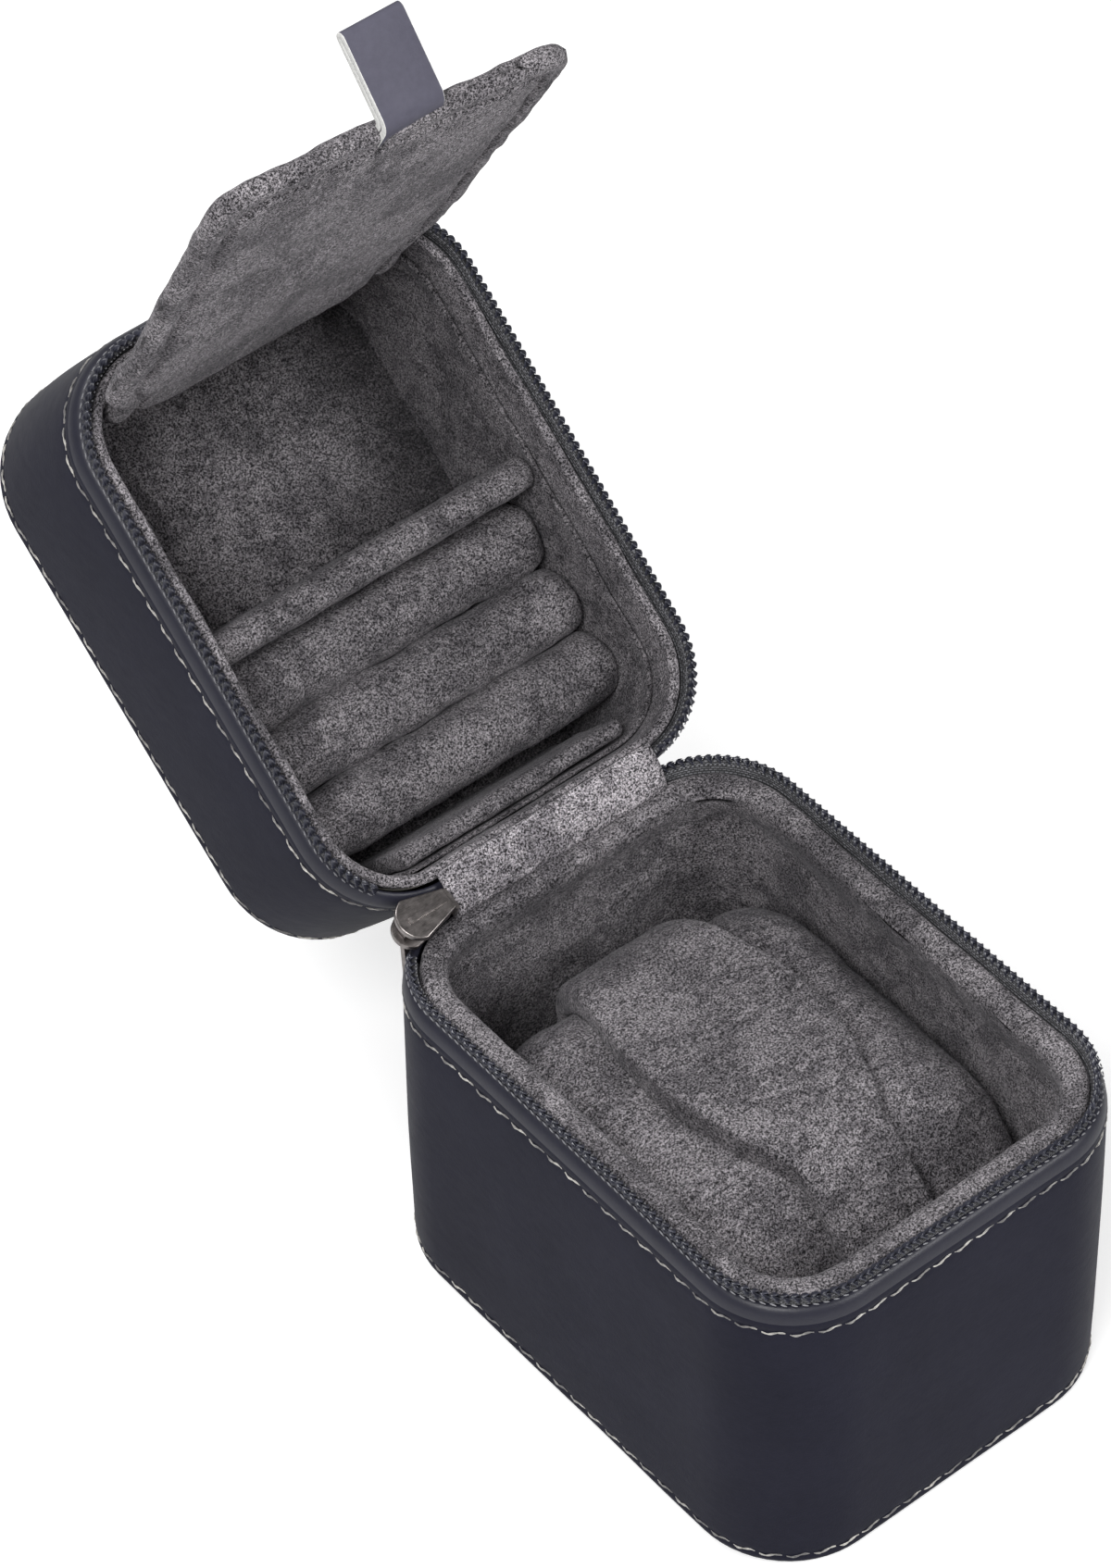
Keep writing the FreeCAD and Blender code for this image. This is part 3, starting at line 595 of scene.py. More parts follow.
def tape_material():
    """Woven zip tape, its threads following the tape's own map."""
    made, tree, shader = material("zip_tape_weave")
    tone = case().colours.tape
    weave = node(tree, "ShaderNodeUVMap", {"uv_map": "weave"})
    threads = node(tree, "ShaderNodeTexBrick", {"offset": 0.5, "squash": 1.0},
                   Vector=weave.outputs["UV"], Scale=1.0, Mortar_Size=0.13, Mortar_Smooth=0.6,
                   Bias=0.0, Brick_Width=0.75, Row_Height=0.36,
                   Color1=(*scaled(tone, 3.6), 1), Color2=(*scaled(tone, 1.2), 1),
                   Mortar=(*scaled(tone, 0.35), 1)).outputs["Color"]
    fleck = noise_at(tree, object_place(tree), 2600, 2, 0.7)
    worn = ramp(tree, fleck, 0.35, 0.65, (0.4, 0.4, 0.4), (1.0, 1.0, 1.0))
    fill(tree, shader, Base_Color=multiplied(tree, threads, worn, 0.8), Roughness=0.8,
         Normal=bumped(tree, 0.8, 0.15, threads))
    return made


def nickel_material():
    """Antique nickel with scratches and worn bright edges."""
    made, tree, shader = material("antique_nickel")
    tone = case().colours.nickel
    patina = noise_at(tree, object_place(tree), 700, 4, 0.65)
    scratch = noise_at(tree, object_place(tree, (1, 14, 14), (0.2, 0.5, 0.9)), 900, 3, 0.6)
    worn = weighed(tree, patina, 0.6, scratch, 0.4)
    fill(tree, shader, Metallic=1.0, Roughness=ranged(tree, patina, 0.22, 0.46),
         Base_Color=ramp(tree, worn, 0.35, 0.6, scaled(tone, 0.55), scaled(tone, 1.35)),
         Normal=bumped(tree, 0.25, 0.05, scratch))
    return made


def plain_material(name, tone, rough, scale=500, roughness=0.6, dark=0.8):
    """Quiet, finely grained finish."""
    made, tree, shader = material(name)
    grain = noise_at(tree, object_place(tree), scale, 3, roughness)
    fill(tree, shader, Roughness=rough,
         Base_Color=ramp(tree, grain, 0.3, 0.7, scaled(tone, dark), tone))
    return made


def raw_edge_material():
    """Undyed cut edge of the tab's leather."""
    return plain_material("raw_leather_edge", case().colours.raw_edge, 0.9, 1800, 0.7, 0.72)


# Leather shell

def skin(bm, rim, end, up):
    """Side leather from its rolled rim to its turned margin; up is 1 for the base."""
    sizes = case().shell
    sew = case().sewing
    rim, end = rim / MM, end / MM
    thick, hem = sizes.leather / MM, (sizes.leather + sizes.hem) / MM
    margin = sizes.margin / MM
    groove = sizes.groove / MM
    rim_seam = rim - up * sew.rim_drop / MM
    foot_seam = end + up * sew.foot_rise / MM
    side = foot_seam + up * 1.6
    top = rim_seam - up * 1.5
    roll = []
    for i in range(1, 9):
        a = QUARTER * i / 9
        roll.append((sizes.roll_width / MM * (1 - math.cos(a)),
                     rim - up * sizes.roll_height / MM * (1 - math.sin(a))))
    corners = [*roll, (sizes.roll_width / MM, rim), (hem, rim - up * 0.05, 0.22),
               (hem, rim - up * sizes.hem_depth / MM), (thick, rim - up * sizes.hem_depth / MM),
               (thick, end + up * thick), (margin, end + up * thick),
               (margin, end, 0.35), (0.0, end, 1.1),
               (groove * 0.35, foot_seam - up * 0.55), (groove, foot_seam),
               (groove * 0.3, foot_seam + up * 0.6), (0.0, side)]
    count = 7
    for i in range(1, count):
        share = i / count
        corners.append((-0.22 * math.sin(math.pi * share), side + (top - side) * share))
    corners += [(0.0, top), (groove * 0.4, rim_seam - up * 0.6), (groove, rim_seam),
                (groove * 0.35, rim_seam + up * 0.6), (-0.05, rim_seam + up * 1.2)]
    geom = section(bm, corners, at_back, steps=5)
    carry_round(bm, geom, 14, 3.0)


def end_panel(bm, z0, z1, outer):
    """Inset panel of an end, its outer edge rounded."""
    sizes = case().shell
    plan_slab(bm, sizes.margin + 0.05 * MM, z0, z1)
    edges = [e for e in bm.edges if all(abs(v.co.z - outer) < 1e-6 for v in e.verts)]
    rounded(bm, edges, 0.4 * MM, 3)


def repeat(bm, patterns, places):
    """Copy the patterns, in turn, to each place, and remove the patterns."""
    for i, place in enumerate(places):
        copy = bmesh.ops.duplicate(bm, geom=patterns[i % len(patterns)])["geom"]
        bmesh.ops.transform(bm, matrix=place, verts=verts_of(copy))
    verts = [vert for pattern in patterns for vert in verts_of(pattern)]
    bmesh.ops.delete(bm, geom=verts, context="VERTS")


def new_geometry(bm, before):
    """What a bmesh holds beyond an earlier count of vertices, edges and faces."""
    return (bm.verts[before[0]:] + bm.edges[before[1]:] + bm.faces[before[2]:])


def counts(bm):
    """How many vertices, edges and faces a bmesh holds."""
    return len(bm.verts), len(bm.edges), len(bm.faces)


def stitch_shape(bm, rng):
    """One stitch: two strands twisted round each other, its ends sunk in their holes."""
    sew = case().sewing
    run = sew.stitch * 0.84
    strand = sew.thread * 0.36
    before = counts(bm)
    phase = rng.uniform(0, math.pi)
    for side in (0, 1):
        circle, edges = ring(bm, strand, 6)
        a = phase + side * math.pi
        bmesh.ops.translate(bm, verts=circle,
                            vec=(-run / 2, math.cos(a) * strand, math.sin(a) * strand))
        carry(bm, circle + edges, 10, math.pi * 2.4, (-run / 2, 0, 0), X_AXIS, (run, 0, 0))
    made = new_geometry(bm, before)
    for vert in verts_of(made):
        t = abs(vert.co.x) / (run / 2)
        squeeze = 1 - 0.45 * max(0, t - 0.6) / 0.4
        vert.co.y *= squeeze
        vert.co.z = vert.co.z * squeeze + 0.16 * MM * (1 - t ** 2.2) - 0.05 * MM
        vert.co.y += 0.22 * MM * math.sin(vert.co.x / run * 2 * math.pi)
    return made


def add_to(bm, other):
    """Add one bmesh to another and free it."""
    mesh = bpy.data.meshes.new("part")
    other.to_mesh(mesh)
    other.free()
    bm.from_mesh(mesh)
    bpy.data.meshes.remove(mesh)


def stitch_row(bm, offset, z, rng):
    """A row of stitches round the rim. The outside of a stitch points away from the case."""
    sew = case().sewing
    slant, sway, drift = 0.05, 0.03, 0.08 * MM
    kinds = 7
    total = rim_length(offset)
    count = round(total / sew.stitch)
    stand = Matrix.Rotation(-QUARTER, 4, "X")
    places = []
    for i in range(count):
        x, y, heading = station(offset, (i + 0.5) * total / count)
        tilt = Matrix.Rotation(slant + rng.uniform(-sway, sway), 4, "Z")
        places.append(Matrix.Translation((x, y, z + rng.uniform(-drift, drift)))
                      @ Matrix.Rotation(heading + math.pi, 4, "Z") @ stand @ tilt)
    row = bmesh.new()
    patterns = [stitch_shape(row, rng) for _ in range(kinds)]
    repeat(row, patterns, places)
    add_to(bm, row)


class TRAVELCASE_OT_leather(bpy.types.Operator):
    """Cover the base and the lid with leather and sew their seams"""
    bl_idname = "travel_case.leather"
    bl_label = "Leather shell"

    def execute(self, context):
        sizes = case().shell
        sew = case().sewing
        leather = leather_material()
        burnished = leather_material("burnished_leather", polish=0.40)
        thread = thread_material()
        rng = random.Random(case().stage.seed)
        ends = (("base", sizes.base_rim, sizes.foot, 1, None),
                ("lid", sizes.lid_rim, sizes.lid_top - sizes.foot, -1, lid_frame()))
        for body, rim, end, up, turned in ends:
            bm = bmesh.new()
            skin(bm, rim, end, up)
            for face in bm.faces:
                drop = up * (rim - face.calc_center_median().z)
                face.material_index = 1 if drop < sizes.roll_height - 0.3 * MM else 0
            ripple(bm, 0.10, 16, 2 + up)
            stands_for = (body + "_side_leather", body + "_wadding")
            finish_piece(body + "_skin", bm, [leather, burnished], body, stands_for,
                         turned)
            bm = bmesh.new()
            edge = sizes.groove - 0.07 * MM
            stitch_row(bm, edge, rim - up * sew.rim_drop, rng)
            stitch_row(bm, edge, end + up * sew.foot_rise, rng)
            finish_piece(body + "_seams", bm, thread, body, (), turned)
        panel = 1.2 * MM
        bm = bmesh.new()
        end_panel(bm, 0.0, panel, 0.0)
        finish_piece("base_bottom_panel", bm, leather, "base",
                     ("base_bottom_leather",))
        bm = bmesh.new()
        end_panel(bm, sizes.lid_top - panel, sizes.lid_top, sizes.lid_top)
        ripple(bm, 0.10, 14, 9)
        finish_piece("lid_top_panel", bm, leather, "lid", ("lid_top_leather",),
                     lid_frame())
        return {"FINISHED"}


# Zip

def tape(bm, low, high, rim, up):
    """Woven tape from inside the roll to the coil."""
    sizes = case().zip
    thick = sizes.tape / MM
    inner = (case().shell.leather + case().shell.hem) / MM + 0.04
    middle = sizes.coil_offset / MM
    corners = [(inner, low), (inner, rim - up * 0.3), (middle - 0.05, rim + up * 0.55),
               (middle - 0.05, high), (middle + thick - 0.05, high),
               (middle + thick + 0.25, rim + up * 0.3), (inner + thick, rim - up * 0.4),
               (inner + thick, low)]
    geom = section(bm, corners, at_back)
    carry_along_zip(bm, geom, sizes.coil_offset)
    bmesh.ops.holes_fill(bm, edges=[e for e in bm.edges if e.is_boundary], sides=0)
    layer = bm.loops.layers.uv.new("weave")
    cx, cy = centres()
    for face in bm.faces:
        for loop in face.loops:
            co = loop.vert.co
            if abs(co.x) > cx and abs(co.y) > cy:
                angle = math.atan2(abs(co.y) - cy, abs(co.x) - cx)
                run = angle * case().shell.corner
            elif abs(co.y) > cy:
                run = QUARTER * case().shell.corner + cx - abs(co.x)
            else:
                run = abs(co.y) - cy
            loop[layer].uv = (run / MM, co.z / MM + (co.x + co.y) / MM * 0.02)


def coil(bm, head, up):
    """The zip's coil: one turn of thread with a swollen head, repeated along the rim."""
    sizes = case().zip
    middle = sizes.coil_offset
    cx, cy = centres()
    r = case().shell.corner - middle
    first = r * math.asin((-sizes.start - cx) / r)
    total = 4 * cy + 2 * cx + r * (1.5 * math.pi) + r * math.acos((sizes.end - cx) / r)
    count = int((total - first) / sizes.pitch)
    a, b = sizes.coil_width / 2, sizes.coil_height / 2
    strand = 0.36 * MM
    circle, edges = ring(bm, strand, 7)
    bmesh.ops.translate(bm, verts=circle, vec=(-sizes.pitch / 2, 0, -(a - strand)))
    carry(bm, circle + edges, 12, 2 * math.pi, (0, 0, 0), X_AXIS, (sizes.pitch, 0, 0))
    gather, swell = 0.45, 0.38
    for vert in bm.verts:
        around = math.hypot(vert.co.y, vert.co.z)
        top = max(0.0, vert.co.z / around)
        centre_x = (math.atan2(-vert.co.y, -vert.co.z) / (2 * math.pi)) * sizes.pitch
        vert.co.x = centre_x * (1 - gather * top) + (vert.co.x - centre_x) * (1 + swell * top)
        vert.co.z *= b / a
    places = []
    for i in range(count):
        x, y, heading = station(middle, first + (i + 0.5) * sizes.pitch)
        place = Matrix.Translation((x, y, head - up * b)) @ Matrix.Rotation(heading, 4, "Z")
        if up < 0:
            place = place @ Matrix.Rotation(math.pi, 4, "X")
        places.append(place)
    repeat(bm, [bm.verts[:] + bm.edges[:] + bm.faces[:]], places)
    return first, count


def zip_threads(bm, head, up, first, count):
    """Sewing of the coil: a run of short stitches outside it and two inside."""
    sizes = case().zip
    outer = sizes.coil_offset - sizes.coil_width / 2
    inner = sizes.coil_offset + sizes.coil_width / 2
    radius, tilt = 0.12, 0.35
    # each row: its offset, its drop below the head, half a stitch, stitches to a turn
    rows = ((outer + 0.06 * MM, 1.50 * MM, 0.42, 1), (inner - 0.04 * MM, 1.15 * MM, 0.30, 2),
            (inner - 0.20 * MM, 1.80 * MM, 0.30, 2))
    for offset, drop, half, split in rows:
        row = bmesh.new()
        made = bmesh.ops.create_uvsphere(row, u_segments=6, v_segments=4,
                                         radius=radius * MM)["verts"]
        bmesh.ops.scale(row, verts=made, vec=(half / radius / split * 1.3, 1, 1))
        places = []
        for i in range(count * split):
            run = first + (i + 0.5) * sizes.pitch / split
            x, y, heading = station_beside(offset, sizes.coil_offset, run)
            places.append(Matrix.Translation((x, y, head - up * drop))
                          @ Matrix.Rotation(heading, 4, "Z") @ Matrix.Rotation(tilt, 4, "Y"))
        repeat(row, [row.verts[:] + row.edges[:] + row.faces[:]], places)
        add_to(bm, row)


def worn_edges(name, piece, finish, body):
    """Copy a metal part with its sharp edges rounded by wear."""
    width = 0.16 * MM
    bm = bmesh.new()
    bm.from_mesh(NODES[name].data)
    bmesh.ops.remove_doubles(bm, verts=bm.verts, dist=0.004 * MM)
    bmesh.ops.dissolve_limit(bm, angle_limit=0.03, verts=bm.verts, edges=bm.edges)
    edges = [e for e in bm.edges if len(e.link_faces) == 2 and e.calc_face_angle(0.0) > 0.5]
    rounded(bm, edges, width, 2, clamp=True)
    finish_piece(piece, bm, finish, body, (name,), None, False)


def station_beside(offset, reference, run):
    """A station on one offset that stays beside the same run of another."""
    x, y, heading = station(reference, run)
    out = Vector((math.cos(heading - QUARTER), math.sin(heading - QUARTER)))
    x += out.x * (reference - offset)
    y += out.y * (reference - offset)
    return x, y, heading


class TRAVELCASE_OT_zip(bpy.types.Operator):
    """Sew the zip's tapes and coils along both rims and finish its metal"""
    bl_idname = "travel_case.zip"
    bl_label = "Zip"

    def execute(self, context):
        sizes = case().zip
        shell = case().shell
        weave = tape_material()
        nylon = coil_material()
        grey = plain_material("zip_sewing_thread", (0.27, 0.27, 0.29), 0.6)
        tape_depth, below_head = 9.4 * MM, 0.8 * MM
        rows = (("base", sizes.base_head, shell.base_rim, 1, None),
                ("lid", sizes.lid_head, shell.lid_rim, -1, lid_frame()))
        for body, head, rim, up, turned in rows:
            bm = bmesh.new()
            tape(bm, (rim - up * tape_depth) / MM, (head - up * below_head) / MM, rim / MM, up)
            finish_piece(body + "_tape", bm, weave, body, (body + "_zip_tape",), turned)
            bm = bmesh.new()
            first, count = coil(bm, head, up)
            finish_piece(body + "_coil", bm, nylon, body, (body + "_zip_coil",), turned)
            bm = bmesh.new()
            zip_threads(bm, head, up, first, count)
            finish_piece(body + "_coil_threads", bm, grey, body, (), turned)
        nickel = nickel_material()
        for name, piece, body in (("zip_slider", "slider", "zip_end"),
                                  ("zip_bail", "bail", "bail"),
                                  ("zip_puller", "puller", "puller")):
            worn_edges(name, piece, nickel, body)
        refinish(("zip_stop",), nickel)
        refinish(("zip_chain_end",), nylon)
        return {"FINISHED"}


# Linings

class TRAVELCASE_OT_base_lining(bpy.types.Operator):
    """Line the base with suede over its padded rim"""
    bl_idname = "travel_case.base_lining"
    bl_label = "Base lining"

    def execute(self, context):
        sizes = case().lining
        suede = suede_material()
        refinish(("base_board_walls", "base_board_floor", "lid_board"),
                 plain_material("grey_board", (0.20, 0.19, 0.17), 0.9))
        face, back, out = sizes.base_face / MM, sizes.board / MM, sizes.rim_out / MM
        cap, floor = sizes.base_cap / MM, sizes.floor / MM
        bm = bmesh.new()
        pad = sizes.rim_pad / MM
        pad_foot, pad_rise, sway = cap - 9, 7.2, 0.10
        corners = [(back, floor), (face, floor)]
        for i in range(1, 12):
            corners.append((face + sway * math.sin(i * 0.8), floor + (pad_foot - floor) * i / 12))
        for i in range(9):
            share = math.sin(QUARTER * i / 8)
            corners.append((face + pad * share * share, pad_foot + pad_rise * i / 8))
        corners += [(face + pad, cap, 1.5), (out, cap, 0.95), (out, cap - 2.5),
                    (back, cap - 2.5)]
        geom = section(bm, corners, at_back, steps=6)
        carry_round(bm, geom, 14, 2.0)
        ripple(bm, 0.28, 7, 4)
        ripple(bm, 0.12, 2.2, 5)
        finish_piece("base_lining", bm, suede, "base", ("base_lining_wall",))
        bm = bmesh.new()
        plan_slab(bm, sizes.base_face, sizes.floor, sizes.floor + 0.6 * MM)
        finish_piece("base_floor_suede", bm, suede, "base", ("base_lining_floor",))
        return {"FINISHED"}


class TRAVELCASE_OT_lid_lining(bpy.types.Operator):
    """Line the lid and set its tray, divider, rolls and piping in place"""
    bl_idname = "travel_case.lid_lining"
    bl_label = "Lid lining and tray"

    def execute(self, context):
        sizes = case().lining
        # Lit and shaded copies of one suede: the lining and the flap strip have the light tone
        # raised 1.18 times as painted light, and the roof, tray, divider, rolls and piping have
        # it lowered to 0.86 as painted shade.
        suede = suede_material("lid_suede_painted_light", 1.18)
        inner = suede_material("tray_suede_painted_shade", 0.86)
        turned = lid_frame()
        face, back, out = sizes.lid_face / MM, sizes.lid_board / MM, sizes.rim_out / MM
        cap, roof = sizes.lid_cap / MM, sizes.lid_roof / MM
        bm = bmesh.new()
        corners = [(back, roof), (face, roof), (face, cap + 8), (face, cap + 4),
                   (face + 0.1, cap + 2), (face, cap, 0.8), (out, cap, 0.8),
                   (out, cap + 2.2), (back, cap + 2.2)]
        geom = section(bm, corners, at_back, steps=6)
        carry_round(bm, geom, 14, 2.0)
        ripple(bm, 0.25, 7, 6)
        finish_piece("lid_lining", bm, suede, "lid", ("lid_lining_wall",), turned)
        bm = bmesh.new()
        plan_slab(bm, sizes.lid_board, sizes.lid_roof, sizes.lid_roof + 0.75 * MM)
        finish_piece("lid_roof_suede", bm, inner, "lid", ("lid_lining_roof",), turned)
        bm = bmesh.new()
        ledge, deep = sizes.ledge / MM, sizes.tray_floor / MM
        outer, lip, foot = sizes.tray_out / MM, sizes.tray_lip / MM, sizes.tray_foot / MM
        corners = [(outer, ledge, 0.3), (lip, ledge, 0.4)]
        for i in range(1, 9):
            corners.append((lip + (foot - lip) * i / 9, ledge + (deep - ledge) * i / 9))
        corners += [(foot, deep), (foot, deep + 0.9), (outer, deep + 0.9)]
        geom = section(bm, corners, at_back, steps=4)
        carry_round(bm, geom, 14, 2.0)
        ripple(bm, 0.30, 8, 8)
        plan_slab(bm, sizes.tray_foot - 0.3 * MM, sizes.tray_floor, sizes.tray_floor + 0.9 * MM)
        finish_piece("tray", bm, inner, "lid", ("lid_tray",), turned)
        # each piece: its node, name, mesh size, rounds of smoothing, swell and ripple
        soft = (("lid_divider", "tray_divider", 0.7, 4, 0.10, 0.25),
                ("lid_roll_1", "tray_roll_1", 0.8, 6, 0.18, 0.6),
                ("lid_roll_2", "tray_roll_2", 0.8, 6, 0.18, 0.6),
                ("lid_roll_3", "tray_roll_3", 0.8, 6, 0.18, 0.6),
                ("lid_back_piping", "back_piping", 0.5, 3, 0.08, 0.25),
                ("lid_flap_strip", "flap_strip", 0.5, 2, 0.05, 0.15))
        for i, (source, name, voxel, rounds, swell, wave) in enumerate(soft):
            bm = softened(source, voxel, rounds, swell)
            ripple(bm, wave, 6, 20 + i)
            ripple(bm, wave * 0.4, 2.2, 40 + i)
            # The flap strip takes the copy with painted light, and the other pieces take the copy
            # with painted shade.
            finish = suede if name == "flap_strip" else inner
            obj = finish_piece(name, bm, finish, "lid", (source,))
        return {"FINISHED"}


class TRAVELCASE_OT_hinge(bpy.types.Operator):
    """Join the base and the lid with the leather strip and its suede gusset"""
    bl_idname = "travel_case.hinge"
    bl_label = "Soft hinge"

    def execute(self, context):
        leather = leather_material()
        # A lit copy of the suede: the gusset's light tone is raised 1.9 times as painted light.
        suede = suede_material("gusset_suede_painted_light", 1.9)
        for node_name, name, finish, slot in (
                ("hinge_leather", "hinge_strip", leather, "leather"),
                ("hinge_lining", "hinge_gusset", suede, "suede")):
            bm = bmesh.new()
            bm.from_mesh(NODES[node_name].data)
            bmesh.ops.remove_doubles(bm, verts=bm.verts, dist=0.01 * MM)
            bmesh.ops.dissolve_limit(bm, angle_limit=0.02, verts=bm.verts, edges=bm.edges)
            half_width, slices = case().hinge.half_width, 26
            for step in range(1, slices):
                x = -half_width + step * half_width / (slices / 2)
                bmesh.ops.bisect_plane(bm, geom=bm.verts[:] + bm.edges[:] + bm.faces[:],
                                       plane_co=(x, 0, 0), plane_no=(1, 0, 0), dist=1e-7)
            obj = finish_piece(name, bm, finish, None, (node_name,))
            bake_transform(obj)
        return {"FINISHED"}


# Cushion

def sag_front(bm, low, high):
    """Let the top of the cushion's front fall away from the rim."""
    start, over = -14 * MM, 13 * MM
    drop, retreat = 4.5 * MM, 1.6 * MM
    for vert in bm.verts:
        t = min(1.0, max(0.0, (start - vert.co.y) / over))
        share = min(1.0, max(0.0, (vert.co.z - low) / (high - low)))
        vert.co.z -= drop * t ** 1.5 * share ** 2
        vert.co.y += retreat * t ** 1.5 * share ** 2


class TRAVELCASE_OT_cushion(bpy.types.Operator):
    """Stuff the pillow and lay the saddle pad over it"""
    bl_idname = "travel_case.cushion"
    bl_label = "Cushion"

    def execute(self, context):
        suede = suede_material("cushion_suede", 1.0, (1, 2.4, 1))
        bm = softened("cushion_pillow", 1.0, 6, -0.35)
        low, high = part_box("cushion_pillow")
        straight = 15 * MM
        end_taper, top_taper = 0.12, 0.065
        for vert in bm.verts:
            t = max(0.0, (abs(vert.co.x) - straight) / (high.x - straight)) ** 2
            share = max(0.0, (vert.co.z - low.z) / (high.z - low.z)) ** 2
            vert.co.z = low.z + (vert.co.z - low.z) * (1 - end_taper * t)
            vert.co.y *= 1 - end_taper * t
            vert.co.x *= 1 - top_taper * share
        ripple(bm, 0.7, 14, 60)
        ripple(bm, 0.25, 4, 61)
        sag_front(bm, low.z, high.z)
        obj = finish_piece("pillow", bm, suede, "cushion", ("cushion_pillow",))
        bm = softened("cushion_saddle", 0.45, 2, 0.15)
        ripple(bm, 0.2, 6, 62)
        sag_front(bm, low.z, high.z)
        obj = finish_piece("saddle_pad", bm, suede, "cushion", ("cushion_saddle",))
        return {"FINISHED"}


# Flap

def flap_half_width(run):
    """Half the flap's width after a run from its fold."""
    sizes = case().flap
    half, neck = sizes.width / 2, sizes.neck / 2
    t = min(1.0, max(0.0, (run - 4.5 * MM) / (7.5 * MM)))
    wide = neck + (half - neck) * t * t * (3 - 2 * t)
    left = sizes.corner - (sizes.reach - run)
    if left > 0:
        wide -= sizes.corner - math.sqrt(max(0.0, sizes.corner ** 2 - left ** 2))
    return wide


def curled(run, rise):
    """Carry a point of the flat flap onto its curl, as Y and Z of the shut flap."""
    sizes = case().flap
    steps = 24
    y = z = 0.0
    bounded = min(max(run, 0.0), sizes.reach)
    for i in range(steps):
        s = bounded * (i + 0.5) / steps
        a = sizes.curl * (s / sizes.reach) ** 0.6
        y += math.cos(a) * bounded / steps
        z += math.sin(a) * bounded / steps
    a = sizes.curl * (bounded / sizes.reach) ** 0.6
    extra = run - bounded
    y += math.cos(a) * extra - math.sin(a) * rise
    z += math.sin(a) * extra + math.cos(a) * rise
    return sizes.axis_y + y, sizes.axis_z + z


def waves(x, run, size, layer, height):
    """Smooth noise over the flat flap, its size and height in millimetres."""
    return noise.noise(Vector((x / (size * MM), run / (size * MM), layer))) * height * MM


